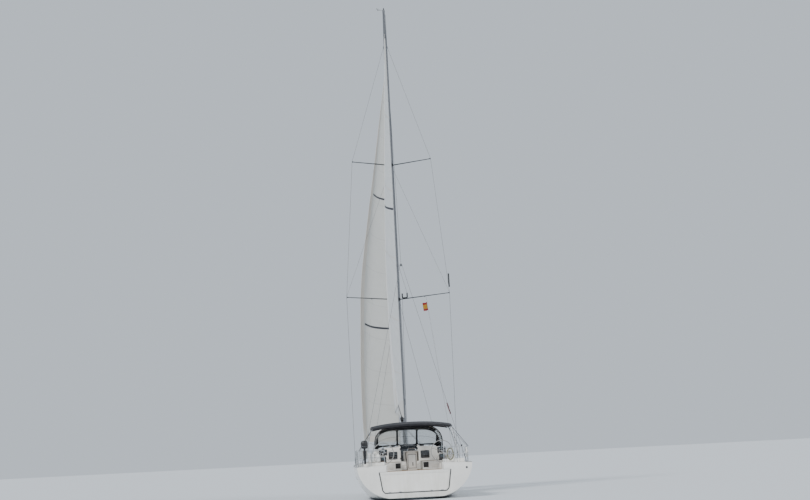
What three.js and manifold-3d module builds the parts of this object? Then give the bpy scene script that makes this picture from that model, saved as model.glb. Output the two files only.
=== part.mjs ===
// A cruising sailing yacht afloat: hull, deck, cockpit, keel, rig, sails, canopies and deck gear.
// Millimetres. +Y is the bow, +X is starboard, +Z is up. The origin is on the centreline, on the
// waterline plane. The yacht stands upright, with both sails set and sheeted close to port.
import * as THREE from 'three';
import { mergeVertices } from 'three/addons/utils/BufferGeometryUtils.js';
import Module from 'manifold-3d';

const wasm = await Module();
wasm.setup();

// Running gaps: between pieces that touch, and between pieces that move past each other.
const SEAT = 0.3;
const CLEAR = 6;

// Hull. Each row is one section: where it meets the sheer and the keel line along Y, its half beam,
// the heights of sheer and keel line, and the two powers that shape its side and its bottom.
const HULL_STATIONS = [
  // ySheer, yKeel, halfBeam, zSheer, zKeel, sidePower, bottomPower
  [-7600, -7600, 2285, 1350, 35, 0.61, 1.18],
  [-6400, -6400, 2330, 1346, -95, 0.62, 1.2],
  [-4800, -4800, 2362, 1346, -240, 0.64, 1.22],
  [-3000, -3000, 2375, 1354, -370, 0.66, 1.25],
  [-1000, -1000, 2365, 1372, -450, 0.7, 1.3],
  [1000, 1000, 2265, 1404, -470, 0.76, 1.35],
  [2800, 2800, 2010, 1450, -430, 0.84, 1.38],
  [4400, 4400, 1610, 1506, -340, 0.95, 1.38],
  [5800, 5800, 1110, 1570, -225, 1.08, 1.32],
  [6900, 6860, 640, 1630, -115, 1.2, 1.25],
  [7560, 7420, 275, 1674, -45, 1.22, 1.2],
  [7900, 7690, 34, 1700, 120, 1.15, 1.1],
];
const HULL_RINGS = 20;
const HULL_HALF_POINTS = 9;
const SHELL = 70;
const BOWL_END = 7200;

// Deck and transom.
const TRANSOM_Y = -7600;
const DECK_THICK = 30;
const DECK_CAMBER = 50;
const WALKWAY_HALF = 1100;
const SOLE_Z = 1150;
const SOLE_THICK = 60;
const DOOR_BOTTOM_Z = 330;
const DOOR_THICK = 60;
const DOOR_HALF_TOP = 1405;
const DOOR_HALF_BOTTOM = 1300;

// Cockpit.
const WELL_HALF = 1400;
const WELL_WALL = 40;
const COAMING_OUTER = 1745;
const COCKPIT_FRONT_Y = -2650;
const BENCH_INNER = 430;
const BENCH_AFT_Y = -5150;
const BENCH_Z = 1500;
const WINCH_Z = 1700;

// Coachroof: each row is a section along Y.
const COACHROOF_STATIONS = [
  // y, halfBottom, halfTop, zEdge
  [-2600, 1620, 1440, 2060],
  [-1000, 1610, 1420, 2070],
  [600, 1500, 1290, 2050],
  [2000, 1290, 1060, 1990],
  [3300, 1020, 790, 1890],
  [4300, 760, 560, 1780],
  [4800, 600, 400, 1640],
];
const COACHROOF_CROWN = 70;
const COACHROOF_WALL = 50;
const COMPANION_HALF = 330;
const SILL_Z = 1515;

// Rig.
const MAST_Y = 900;
const MAST_HALF_WIDTH = 85;
const MAST_HALF_DEPTH = 125;
const MAST_BASE_Z = 2150;
const HOUNDS_Z = 20350;
const MASTHEAD_Z = 22100;
const WIRE = 7;
const CHAINPLATE = [2265, 420, 1425];
const SPREADERS = {
  // halfSpan, rootZ, tipZ, sweep aft
  upper: [1780, 14880, 15040, 420],
  lower: [2310, 8740, 8900, 480],
};
const FORESTAY_TOP = [0, 1060, 20250];
const FORESTAY_FOOT = [0, 7560, 1850];
const BACKSTAY_TOP = [0, 735, 21950];
const BRIDLE = [0, -4130, 9750];
const BACKSTAY_FOOT = [2080, -7280, 1420];

// Boom and sails.
const GOOSENECK = [0, 735, 3060];
const BOOM_LENGTH = 5960;
const BOOM_RISE = 200;
const BOOM_HALF_WIDTH = 70;
const BOOM_HALF_DEPTH = 95;
const BOOM_DEG = 3.2;

const FINISHES = {
  // colour, roughness, metalness
  gelcoat: [0xeceae4, 0.3, 0],
  antifoul: [0x23303c, 0.8, 0],
  teak: [0x9c7a52, 0.75, 0],
  aluminium: [0x8d9196, 0.4, 0.9],
  steel: [0xc9ccd0, 0.2, 1],
  sailcloth: [0xe6e2d6, 0.85, 0],
  canvas: [0x35333a, 0.95, 0],
  black_plastic: [0x17181a, 0.4, 0],
  white_plastic: [0xf0efea, 0.5, 0],
  smoked: [0x1b2026, 0.15, 0],
  iron: [0x4a4d50, 0.6, 0.5],
  bronze: [0xa8864a, 0.4, 0.9],
  flag_red: [0x8c1f26, 0.9, 0],
  flag_yellow: [0xd9a928, 0.9, 0],
};

const yacht = new THREE.Group();

function vec(p) {
  return p.isVector3 ? p.clone() : new THREE.Vector3(p[0], p[1], p[2]);
}

function mix(a, b, t) {
  return a + (b - a) * t;
}

function mirrored(p) {
  return [-p[0], p[1], p[2]];
}

// Solids. A closed list of points and triangles becomes a solid with its faces pointing out.
function closedSolid(points, triangles) {
  let volume = 0;
  for (const [a, b, c] of triangles) {
    volume += points[a].dot(new THREE.Vector3().crossVectors(points[b], points[c]));
  }
  const outward = volume < 0 ? triangles.map(([a, b, c]) => [a, c, b]) : triangles;
  const vertProperties = new Float32Array(points.flatMap((p) => [p.x, p.y, p.z]));
  const triVerts = new Uint32Array(outward.flat());
  const mesh = new wasm.Mesh({ numProp: 3, vertProperties, triVerts });
  mesh.merge();
  return new wasm.Manifold(mesh);
}

function fromGeometry(geometry) {
  const bare = geometry.clone();
  for (const name of Object.keys(bare.attributes)) {
    if (name !== 'position') bare.deleteAttribute(name);
  }
  const merged = mergeVertices(bare, 1e-3);
  const points = [];
  for (let i = 0; i < merged.attributes.position.count; i += 1) {
    points.push(new THREE.Vector3().fromBufferAttribute(merged.attributes.position, i));
  }
  const triangles = [];
  for (let i = 0; i < merged.index.count; i += 3) {
    const corners = [merged.index.getX(i), merged.index.getX(i + 1), merged.index.getX(i + 2)];
    if (new Set(corners).size === 3) triangles.push(corners);
  }
  return closedSolid(points, triangles);
}

function toGeometry(body) {
  const mesh = body.getMesh();
  const geometry = new THREE.BufferGeometry();
  const positions = new Float32Array(mesh.numVert * 3);
  for (let i = 0; i < mesh.numVert; i += 1) {
    for (let k = 0; k < 3; k += 1) {
      positions[i * 3 + k] = mesh.vertProperties[i * mesh.numProp + k];
    }
  }
  geometry.setAttribute('position', new THREE.BufferAttribute(positions, 3));
  geometry.setIndex(new THREE.BufferAttribute(new Uint32Array(mesh.triVerts), 1));
  geometry.computeVertexNormals();
  return geometry;
}

function join(...bodies) {
  return bodies.reduce((all, body) => all.add(body));
}

function cut(body, ...tools) {
  return tools.reduce((rest, tool) => rest.subtract(tool), body);
}

function box(x0, x1, y0, y1, z0, z1) {
  const geometry = new THREE.BoxGeometry(x1 - x0, y1 - y0, z1 - z0);
  geometry.translate((x0 + x1) / 2, (y0 + y1) / 2, (z0 + z1) / 2);
  return fromGeometry(geometry);
}

// Two like boxes, one on each side of the centreline.
function bothSides(make) {
  return [make(1), make(-1)];
}

function sideBox(side, x0, x1, y0, y1, z0, z1) {
  return side > 0 ? box(x0, x1, y0, y1, z0, z1) : box(-x1, -x0, y0, y1, z0, z1);
}

// A round bar from a to b; a second radius makes it a cone.
function rod(a, b, radius, sides = 8, radiusB = radius) {
  const from = vec(a);
  const to = vec(b);
  const along = to.clone().sub(from);
  const geometry = new THREE.CylinderGeometry(radiusB, radius, along.length(), sides);
  const turn = new THREE.Quaternion().setFromUnitVectors(new THREE.Vector3(0, 1, 0), along.normalize());
  geometry.applyQuaternion(turn);
  geometry.translate((from.x + to.x) / 2, (from.y + to.y) / 2, (from.z + to.z) / 2);
  return fromGeometry(geometry);
}

function ball(centre, radius) {
  const geometry = new THREE.SphereGeometry(radius, 6, 4);
  geometry.translate(...centre);
  return fromGeometry(geometry);
}

// A bent bar with straight runs and a ball at each bend.
function bentRod(points, radius, sides = 6) {
  const runs = points.slice(1).map((p, i) => rod(points[i], p, radius, sides));
  const bends = points.slice(1, -1).map((p) => ball(p, radius * 1.35));
  return join(...runs, ...bends);
}

// A tube bent smoothly through its points.
function pipe(points, radius, steps, sides = 6) {
  const circle = new THREE.Shape();
  for (let i = 0; i < sides; i += 1) {
    const turn = (i / sides) * Math.PI * 2;
    const place = [radius * Math.cos(turn), radius * Math.sin(turn)];
    if (i === 0) circle.moveTo(...place);
    else circle.lineTo(...place);
  }
  circle.closePath();
  const path = new THREE.CatmullRomCurve3(points.map(vec), false, 'centripetal');
  return fromGeometry(new THREE.ExtrudeGeometry(circle, { steps, extrudePath: path, bevelEnabled: false }));
}

// A solid through rings of equal length; each end is closed by a fan about its middle.
function loft(rings) {
  const size = rings[0].length;
  const points = rings.flat().map(vec);
  const triangles = [];
  for (let r = 0; r < rings.length - 1; r += 1) {
    for (let k = 0; k < size; k += 1) {
      const a = r * size + k;
      const b = r * size + ((k + 1) % size);
      triangles.push([a, b, a + size], [b, b + size, a + size]);
    }
  }
  for (const [r, flip] of [[0, true], [rings.length - 1, false]]) {
    const middle = new THREE.Vector3();
    for (let k = 0; k < size; k += 1) middle.add(points[r * size + k]);
    points.push(middle.divideScalar(size));
    const centre = points.length - 1;
    for (let k = 0; k < size; k += 1) {
      const a = r * size + k;
      const b = r * size + ((k + 1) % size);
      triangles.push(flip ? [centre, b, a] : [centre, a, b]);
    }
  }
  return closedSolid(points, triangles);
}

// A sheet of even thickness on a grid of points.
function sheetSolid(grid, thickness) {
  const rows = grid.length;
  const columns = grid[0].length;
  const at = (i, j) => grid[Math.min(Math.max(i, 0), rows - 1)][Math.min(Math.max(j, 0), columns - 1)];
  const points = [];
  for (const side of [0.5, -0.5]) {
    for (let i = 0; i < rows; i += 1) {
      for (let j = 0; j < columns; j += 1) {
        const across = at(i, j + 1).clone().sub(at(i, j - 1));
        const along = at(i + 1, j).clone().sub(at(i - 1, j));
        const normal = across.cross(along).normalize();
        points.push(at(i, j).clone().addScaledVector(normal, side * thickness));
      }
    }
  }
  const half = rows * columns;
  const id = (i, j, side) => side * half + i * columns + j;
  const triangles = [];
  const quad = (a, b, c, d) => triangles.push([a, b, c], [a, c, d]);
  for (let i = 0; i < rows - 1; i += 1) {
    for (let j = 0; j < columns - 1; j += 1) {
      quad(id(i, j, 0), id(i, j + 1, 0), id(i + 1, j + 1, 0), id(i + 1, j, 0));
      quad(id(i, j, 1), id(i + 1, j, 1), id(i + 1, j + 1, 1), id(i, j + 1, 1));
    }
  }
  for (let i = 0; i < rows - 1; i += 1) {
    quad(id(i, 0, 0), id(i + 1, 0, 0), id(i + 1, 0, 1), id(i, 0, 1));
    quad(id(i, columns - 1, 1), id(i + 1, columns - 1, 1), id(i + 1, columns - 1, 0), id(i, columns - 1, 0));
  }
  for (let j = 0; j < columns - 1; j += 1) {
    quad(id(0, j, 1), id(0, j + 1, 1), id(0, j + 1, 0), id(0, j, 0));
    quad(id(rows - 1, j, 0), id(rows - 1, j + 1, 0), id(rows - 1, j + 1, 1), id(rows - 1, j, 1));
  }
  return closedSolid(points, triangles);
}

// A flat outline in the plane of two axes, pushed through along the third.
function plate(outline, axis, from, to) {
  const shape = new THREE.Shape(outline.map(([u, v]) => new THREE.Vector2(u, v)));
  const geometry = new THREE.ExtrudeGeometry(shape, { depth: to - from, bevelEnabled: false });
  geometry.translate(0, 0, from);
  const turns = {
    x: [0, 0, 1, 0, 1, 0, 0, 0, 0, 1, 0, 0],
    y: [1, 0, 0, 0, 0, 0, 1, 0, 0, 1, 0, 0],
    z: [1, 0, 0, 0, 0, 1, 0, 0, 0, 0, 1, 0],
  };
  geometry.applyMatrix4(new THREE.Matrix4().set(...turns[axis], 0, 0, 0, 1));
  return fromGeometry(geometry);
}

function add(name, body, finish) {
  const [color, roughness, metalness] = FINISHES[finish];
  const material = new THREE.MeshStandardMaterial({ color, roughness, metalness });
  const mesh = new THREE.Mesh(toGeometry(body), material);
  mesh.name = name;
  yacht.add(mesh);
}

// Hull lines: a smooth row of values through a table's rows, at t from 0 to 1.
function between(table, t) {
  const place = t * (table.length - 1);
  const i = Math.min(Math.floor(place), table.length - 2);
  const f = place - i;
  return table[i].map((_, column) => {
    const p1 = table[i][column];
    const p2 = table[i + 1][column];
    const p0 = i > 0 ? table[i - 1][column] : 2 * p1 - p2;
    const p3 = i < table.length - 2 ? table[i + 2][column] : 2 * p2 - p1;
    const bend = 2 * p0 - 5 * p1 + 4 * p2 - p3 + f * (3 * (p1 - p2) + p3 - p0);
    return p1 + 0.5 * f * (p2 - p0 + f * bend);
  });
}

function sectionRing(station, inset, lift) {
  const [ySheer, yKeel, halfBeam, zSheer, zKeel, sidePower, bottomPower] = station;
  const width = Math.max(halfBeam - inset, 4);
  const depth = zSheer - zKeel - inset;
  const half = [];
  for (let k = 0; k <= HULL_HALF_POINTS; k += 1) {
    const turn = ((k / HULL_HALF_POINTS) * Math.PI) / 2;
    const rise = 1 - Math.cos(turn) ** bottomPower;
    const x = width * Math.sin(turn) ** sidePower;
    half.push([x, mix(yKeel, ySheer, rise), zSheer - depth * (1 - rise)]);
  }
  if (lift > 0) half.push([width, ySheer, zSheer + lift]);
  return [...half.slice(1).reverse().map(mirrored), ...half];
}

function hullRows() {
  return Array.from({ length: HULL_RINGS }, (_, i) => between(HULL_STATIONS, i / (HULL_RINGS - 1)));
}

function hullSolid(inset) {
  return loft(hullRows().map((row) => sectionRing(row, inset, 0)));
}

function hullInside(inset) {
  const rows = hullRows().filter((row) => row[0] < BOWL_END);
  rows[0] = rows[0].map((value, column) => (column < 2 ? TRANSOM_Y + inset : value));
  return loft(rows.map((row) => sectionRing(row, inset, 900)));
}

function sheerAt(y) {
  const rows = hullRows();
  const i = Math.max(rows.findIndex((row) => row[0] >= y), 1);
  const [a, b] = [rows[i - 1], rows[i]];
  const t = (y - a[0]) / (b[0] - a[0]);
  return { halfBeam: mix(a[2], b[2], t), z: mix(a[3], b[3], t) };
}

function deckZ(x, y) {
  const { halfBeam, z } = sheerAt(y);
  return z + DECK_THICK + DECK_CAMBER * (1 - (x / halfBeam) ** 2);
}

function deckSolid() {
  const across = [1, 0.7, 0.35, 0];
  return loft(hullRows().map(([y, , halfBeam, z]) => {
    const top = across.map((share) => [
      share * halfBeam, y, z + DECK_THICK + DECK_CAMBER * (1 - share ** 2),
    ]);
    return [
      [-halfBeam, y, z + SEAT], [halfBeam, y, z + SEAT],
      ...top, ...top.slice(0, -1).reverse().map(mirrored),
    ];
  }));
}

// What stands on the deck starts a little below its surface, and is trimmed to it by this.
const deckTop = deckSolid().translate([0, 0, SEAT]);
const SUNK = 8;
function onDeck(body) {
  return cut(body, deckTop);
}

// Coachroof: a ring at each station, made wider or narrower by grow.
function coachroofRing([y, halfBottom, halfTop, zEdge], grow, floor) {
  const half = [
    [halfBottom + grow, floor],
    [halfBottom + grow, 1480],
    [mix(halfBottom, halfTop, 0.75) + grow, zEdge - 130],
    [halfTop + grow * 0.7, zEdge - 25 + grow * 0.7],
    [halfTop - 120, zEdge + 8 + grow],
    [halfTop * 0.5, zEdge + COACHROOF_CROWN * 0.75 + grow],
    [0, zEdge + COACHROOF_CROWN + grow],
  ];
  const ring = half.map(([x, z]) => [x, y, z]);
  return [...ring, ...ring.slice(0, -1).reverse().map(mirrored)];
}

function coachroofSolid(grow, floor) {
  const rows = COACHROOF_STATIONS.map((row) => [...row]);
  rows[0][0] -= grow;
  rows[rows.length - 1][0] += grow;
  return loft(rows.map((row) => coachroofRing(row, grow, floor)));
}

// Hull, with the transom door's opening and the walkway above it.
const DOOR_TOP_Z = SOLE_Z - CLEAR;
const hullOuter = hullSolid(0);
const hullBare = hullSolid(-SEAT);
const RUDDER_STOCK_Y = -6450;
const STOCK_RADIUS = 45;
const STOCK_SIDES = 32;
const STOCK_GAP = 0.5;
function doorOutline(margin) {
  const corner = 90;
  const halfBottom = DOOR_HALF_BOTTOM + margin;
  const halfTop = DOOR_HALF_TOP + margin;
  const bottom = DOOR_BOTTOM_Z - margin;
  const top = DOOR_TOP_Z + margin;
  const right = [[halfBottom - corner, bottom], [halfBottom, bottom + corner], [halfTop, top]];
  return [...right, ...right.map(([x, z]) => [-x, z]).reverse()];
}
const hull = cut(
  hullOuter,
  hullInside(SHELL),
  plate(doorOutline(CLEAR), 'y', TRANSOM_Y - 50, TRANSOM_Y + SHELL + 60),
  box(-WALKWAY_HALF - 40, WALKWAY_HALF + 40, TRANSOM_Y - 50, TRANSOM_Y + SHELL + 60, SOLE_Z - 10, 1500),
  rod([0, RUDDER_STOCK_Y, -400], [0, RUDDER_STOCK_Y, 200], STOCK_RADIUS + STOCK_GAP, STOCK_SIDES),
);
add('hull', hull, 'gelcoat');

// Hatch places on the centreline: y of the hinge, length, half width, and what they sit on.
const FORE_HATCH = { y: 5150, length: 520, half: 260 };
const SALOON_HATCH = { y: 2150, length: 520, half: 260 };
const LOCKER = { y: 6230, length: 560, half: 230 };
function hatchHole({ y, length, half }, z0, z1) {
  const rim = 30;
  return box(-half + rim, half - rim, y + rim, y + length - rim, z0, z1);
}

// Deck, open over the cockpit, the walkway, the cabin, the fore hatch and the anchor locker.
const WIDE_AFT_Y = -5700;
const SEAT_FRONT_Y = -6700;
const deck = cut(
  deckSolid(),
  coachroofSolid(SEAT, 1000),
  box(-COAMING_OUTER, COAMING_OUTER, WIDE_AFT_Y, COACHROOF_STATIONS[0][0] + 20, 1000, 2000),
  box(-WELL_HALF - WELL_WALL, WELL_HALF + WELL_WALL, SEAT_FRONT_Y, WIDE_AFT_Y + 10, 1000, 2000),
  box(-WALKWAY_HALF - WELL_WALL, WALKWAY_HALF + WELL_WALL, TRANSOM_Y - 50, SEAT_FRONT_Y + 10, 1000, 2000),
  hatchHole(FORE_HATCH, 1000, 2500),
  hatchHole(LOCKER, 1000, 2500),
);
add('deck', deck, 'gelcoat');

// Anchor locker: an open tray under its lid.
const lockerTop = sheerAt(LOCKER.y).z;
const lockerRim = 30;
const locker = cut(
  box(-LOCKER.half, LOCKER.half, LOCKER.y, LOCKER.y + LOCKER.length, lockerTop - 450, lockerTop - SEAT),
  box(
    -LOCKER.half + lockerRim, LOCKER.half - lockerRim, LOCKER.y + lockerRim,
    LOCKER.y + LOCKER.length - lockerRim, lockerTop - 420, lockerTop + 50,
  ),
).intersect(hullInside(SHELL + 5));
add('anchor_locker', locker, 'gelcoat');

// Cockpit moulding: sole, well walls, benches and coamings.
function cockpitSide(side) {
  const g = SEAT;
  const wallTop = (x, y) => deckZ(x, y) + 6;
  const aftWall = sideBox(
    side, WALKWAY_HALF, WALKWAY_HALF + WELL_WALL - g, TRANSOM_Y + SHELL + g, SEAT_FRONT_Y + 10 - g,
    SOLE_Z - SOLE_THICK, wallTop(1100, -7100),
  );
  const seatFront = sideBox(
    side, WALKWAY_HALF, WELL_HALF + WELL_WALL - g, SEAT_FRONT_Y - 30, SEAT_FRONT_Y + 10 - g,
    SOLE_Z - SOLE_THICK, sheerAt(SEAT_FRONT_Y).z - g,
  );
  const helmWall = sideBox(
    side, WELL_HALF, WELL_HALF + WELL_WALL - g, SEAT_FRONT_Y + g, WIDE_AFT_Y + 20,
    SOLE_Z - SOLE_THICK, wallTop(1400, -6200),
  );
  const profile = [
    [WIDE_AFT_Y + g, SOLE_Z - SOLE_THICK], [WIDE_AFT_Y + g, 1480], [-5450, WINCH_Z], [-4350, WINCH_Z],
    [-3900, 1860], [COCKPIT_FRONT_Y, 1930], [COCKPIT_FRONT_Y, SOLE_Z - SOLE_THICK],
  ];
  const [x0, x1] = side > 0 ? [WELL_HALF, COAMING_OUTER - g] : [-COAMING_OUTER + g, -WELL_HALF];
  const coaming = plate(profile, 'x', x0, x1);
  const bench = sideBox(
    side, BENCH_INNER, WELL_HALF + 10, BENCH_AFT_Y, COCKPIT_FRONT_Y, SOLE_Z - SOLE_THICK, BENCH_Z,
  );
  return join(aftWall, seatFront, helmWall, coaming, bench);
}
const sole = join(
  box(-WELL_HALF - 20, WELL_HALF + 20, SEAT_FRONT_Y - 30, COCKPIT_FRONT_Y, SOLE_Z - SOLE_THICK, SOLE_Z),
  box(
    -WALKWAY_HALF - 20, WALKWAY_HALF + 20, TRANSOM_Y + SHELL + SEAT, SEAT_FRONT_Y,
    SOLE_Z - SOLE_THICK, SOLE_Z,
  ),
);
const bridge = box(-BENCH_INNER - 5, BENCH_INNER + 5, COCKPIT_FRONT_Y - 250, COCKPIT_FRONT_Y,
  SOLE_Z - SOLE_THICK, SOLE_Z + 180);
add('cockpit', join(sole, bridge, ...bothSides(cockpitSide)), 'gelcoat');

// Coachroof: a hollow moulding with the companionway cut through its aft face and its top.
const roofTop = (y) => {
  const i = Math.max(COACHROOF_STATIONS.findIndex((row) => row[0] >= y), 1);
  const [a, b] = [COACHROOF_STATIONS[i - 1], COACHROOF_STATIONS[i]];
  return mix(a[3], b[3], (y - a[0]) / (b[0] - a[0])) + COACHROOF_CROWN;
};
const HATCH_AFT_Y = -2610;
const HATCH_LENGTH = 800;
const HATCH_TRAVEL = 640;
const hatchZ = roofTop(-2000) + 22;
const coachroofHollow = coachroofSolid(-COACHROOF_WALL, 900);
const runner = { from: COACHROOF_STATIONS[0][0] + 20, to: -1130, foot: roofTop(-1100) - 60 };
const coachroofRunners = bothSides((side) => join(
  sideBox(side, COMPANION_HALF + 56, COMPANION_HALF + 86, runner.from, runner.to, runner.foot, hatchZ + 36),
  sideBox(side, COMPANION_HALF + 14, COMPANION_HALF + 60, runner.from, runner.to, runner.foot, hatchZ - SEAT),
));
const mastStep = box(-140, 140, MAST_Y - 180, MAST_Y + 180, roofTop(MAST_Y) - 50, MAST_BASE_Z - SEAT);
const hatchCoaming = box(
  -SALOON_HATCH.half - 20, SALOON_HATCH.half + 20, SALOON_HATCH.y - 20,
  SALOON_HATCH.y + SALOON_HATCH.length + 20, 1950, roofTop(SALOON_HATCH.y) + 8,
);
const coachroof = cut(
  join(coachroofSolid(0, 1250), ...coachroofRunners, mastStep, hatchCoaming),
  coachroofHollow,
  box(-COMPANION_HALF, COMPANION_HALF, -2700, -2500, SILL_Z, 2400),
  box(-COMPANION_HALF, COMPANION_HALF, -2700, -1860, 1900, 2400),
  hatchHole(SALOON_HATCH, 1800, 2400),
);
add('coachroof', coachroof, 'gelcoat');

// Inside, seen down the companionway: the sole, the steps and the engine behind them.
const CABIN_SOLE_Z = -120;
const inside = hullInside(SHELL + SEAT);
const STEP_COUNT = 4;
const stepRise = (SILL_Z - 180 - CABIN_SOLE_Z) / STEP_COUNT;
const steps = Array.from({ length: STEP_COUNT }, (_, i) => box(
  -300, 300, -2540, -1500 - i * 250, CABIN_SOLE_Z - 10, CABIN_SOLE_Z + stepRise * (i + 1),
));
const cabinSole = box(-2300, 2300, -2540, 5200, CABIN_SOLE_Z - 30, CABIN_SOLE_Z).intersect(inside);
add('cabin_sole', join(cabinSole, ...steps), 'teak');
add('engine', box(-330, 330, -3900, -2560, -330, 420).intersect(inside), 'iron');

// Keel: fin and bulb.
const KEEL_TOP_Z = -380;
const KEEL_BOTTOM_Z = -1980;
function foilRing(z, leading, trailing, half) {
  const shape = [[0, 0], [0.06, 0.6], [0.25, 1], [0.5, 0.86], [0.8, 0.38], [1, 0.03]];
  const side = shape.map(([along, wide]) => [half * wide, mix(leading, trailing, along), z]);
  return [...side, ...side.slice(1).reverse().map(mirrored)];
}
add('keel_fin', cut(loft([
  foilRing(KEEL_TOP_Z, 1000, -900, 120),
  foilRing(-700, 930, -830, 115),
  foilRing(KEEL_BOTTOM_Z, 700, -650, 95),
]), hullBare), 'antifoul');
function bulbRing(y, half, middle) {
  return Array.from({ length: 14 }, (_, i) => {
    const turn = (i / 14) * Math.PI * 2;
    const drop = Math.sin(turn) < 0 ? 0.75 : 0.9;
    const z = middle + half * drop * Math.sin(turn);
    return [half * Math.cos(turn), y, Math.min(z, KEEL_BOTTOM_Z - SEAT)];
  });
}
const BULB_STATIONS = [
  [1250, 20], [1150, 90], [900, 170], [400, 235], [-300, 250], [-900, 190], [-1350, 95], [-1500, 30],
];
add('keel_bulb', loft(BULB_STATIONS.map(([y, half]) => bulbRing(y, half, KEEL_BOTTOM_Z - 130))), 'iron');

// Saildrive leg and propeller.
const PROP_Y = -3560;
const PROP_Z = -900;
const legBody = join(
  loft([foilRing(-250, -2950, -3350, 60), foilRing(PROP_Z, -3000, -3330, 52)]),
  rod([0, -2900, PROP_Z], [0, PROP_Y + 60 + CLEAR, PROP_Z], 62, 12),
  rod([0, -2900, PROP_Z], [0, -2800, PROP_Z], 62, 12, 15),
);
add('saildrive_leg', cut(legBody, hullBare), 'antifoul');
const PROP_RADIUS = 240;
const hub = join(
  rod([0, PROP_Y + 60 + CLEAR - SEAT, PROP_Z], [0, PROP_Y, PROP_Z], 20, 8),
  rod([0, PROP_Y + 60, PROP_Z], [0, PROP_Y - 60, PROP_Z], 55, 12),
  rod([0, PROP_Y - 60, PROP_Z], [0, PROP_Y - 130, PROP_Z], 55, 12, 15),
);
function propBlade(index) {
  const turn = (index / 3) * Math.PI * 2 + Math.PI / 2;
  const grid = [0.16, 0.4, 0.7, 0.95].map((share, row) => [-1, 0, 1].map((edge) => {
    const radius = share * PROP_RADIUS;
    const pitch = mix(0.9, 0.42, row / 3);
    const chord = [45, 75, 80, 40][row];
    const sweep = edge * chord * Math.cos(pitch);
    const angle = turn + sweep / Math.max(radius, 80);
    return new THREE.Vector3(
      radius * Math.cos(angle),
      PROP_Y + edge * chord * Math.sin(pitch) * 0.7,
      PROP_Z + radius * Math.sin(angle),
    );
  }));
  return sheetSolid(grid, 9);
}
add('propeller', join(hub, propBlade(0), propBlade(1), propBlade(2)), 'bronze');

// Rudder: blade and stock in one.
add('rudder', join(
  loft([
    foilRing(-150, RUDDER_STOCK_Y + 180, RUDDER_STOCK_Y - 480, 62),
    foilRing(-1900, RUDDER_STOCK_Y + 120, RUDDER_STOCK_Y - 300, 34),
  ]),
  rod([0, RUDDER_STOCK_Y, -600], [0, RUDDER_STOCK_Y, SOLE_Z - SOLE_THICK - 5], STOCK_RADIUS, STOCK_SIDES),
), 'antifoul');

// Mast, fractional, with a tapered top.
function mastRing(z, share, aftShift) {
  return Array.from({ length: 16 }, (_, i) => {
    const turn = (i / 16) * Math.PI * 2;
    return [
      share * MAST_HALF_WIDTH * Math.cos(turn),
      MAST_Y + aftShift + share * MAST_HALF_DEPTH * Math.sin(turn),
      z,
    ];
  });
}
function mastShape(grow) {
  return loft([
    mastRing(MAST_BASE_Z, 1 + grow, 0), mastRing(HOUNDS_Z - 600, 1 + grow, 0),
    mastRing(MASTHEAD_Z, 0.6 + grow, -40),
  ]);
}
const goosePinHalf = 60;
const gooseneck = cut(
  box(-45, 45, GOOSENECK[1] - 28, MAST_Y - 60, GOOSENECK[2] - 140, GOOSENECK[2] + 140),
  box(
    -60, 60, GOOSENECK[1] - 130, GOOSENECK[1] + 45,
    GOOSENECK[2] - goosePinHalf - SEAT, GOOSENECK[2] + goosePinHalf + SEAT,
  ),
);
const KICKER = { footZ: 2420, footRadius: 33, topRadius: 27, reach: 0.26 };
const kickerShelf = box(
  -34, 34, GOOSENECK[1] - 34, MAST_Y - 60, KICKER.footZ - KICKER.footRadius - 40,
  KICKER.footZ - KICKER.footRadius - SEAT,
);
add('mast', join(mastShape(0), gooseneck, kickerShelf), 'aluminium');

// Spreader pairs, each with the collar that clamps round the mast.
for (const [name, [halfSpan, rootZ, tipZ, sweep]] of Object.entries(SPREADERS)) {
  const collarRing = (z, share) => mastRing(z, share, 0);
  const collar = cut(
    loft([collarRing(rootZ - 60, 1.14), collarRing(rootZ + 60, 1.14)]),
    loft([collarRing(rootZ - 70, 1.006), collarRing(rootZ + 70, 1.006)]),
  );
  const arms = bothSides((side) => loft([
    [70, 16, MAST_HALF_WIDTH * 0.98, rootZ, 0], [36, 9, halfSpan - WIRE - 3, tipZ, -sweep],
  ].map(([depth, half, x, z, y]) => [
    [side * x, MAST_Y + y - depth, z], [side * x, MAST_Y + y, z - half],
    [side * x, MAST_Y + y + depth, z], [side * x, MAST_Y + y, z + half],
  ])));
  const mastRoom = loft([collarRing(rootZ - 300, 1.006), collarRing(rootZ + 300, 1.006)]);
  const trimmed = arms.map((arm) => cut(arm, mastRoom));
  add(`${name}_spreaders`, join(collar, ...trimmed), 'aluminium');
}

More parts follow.
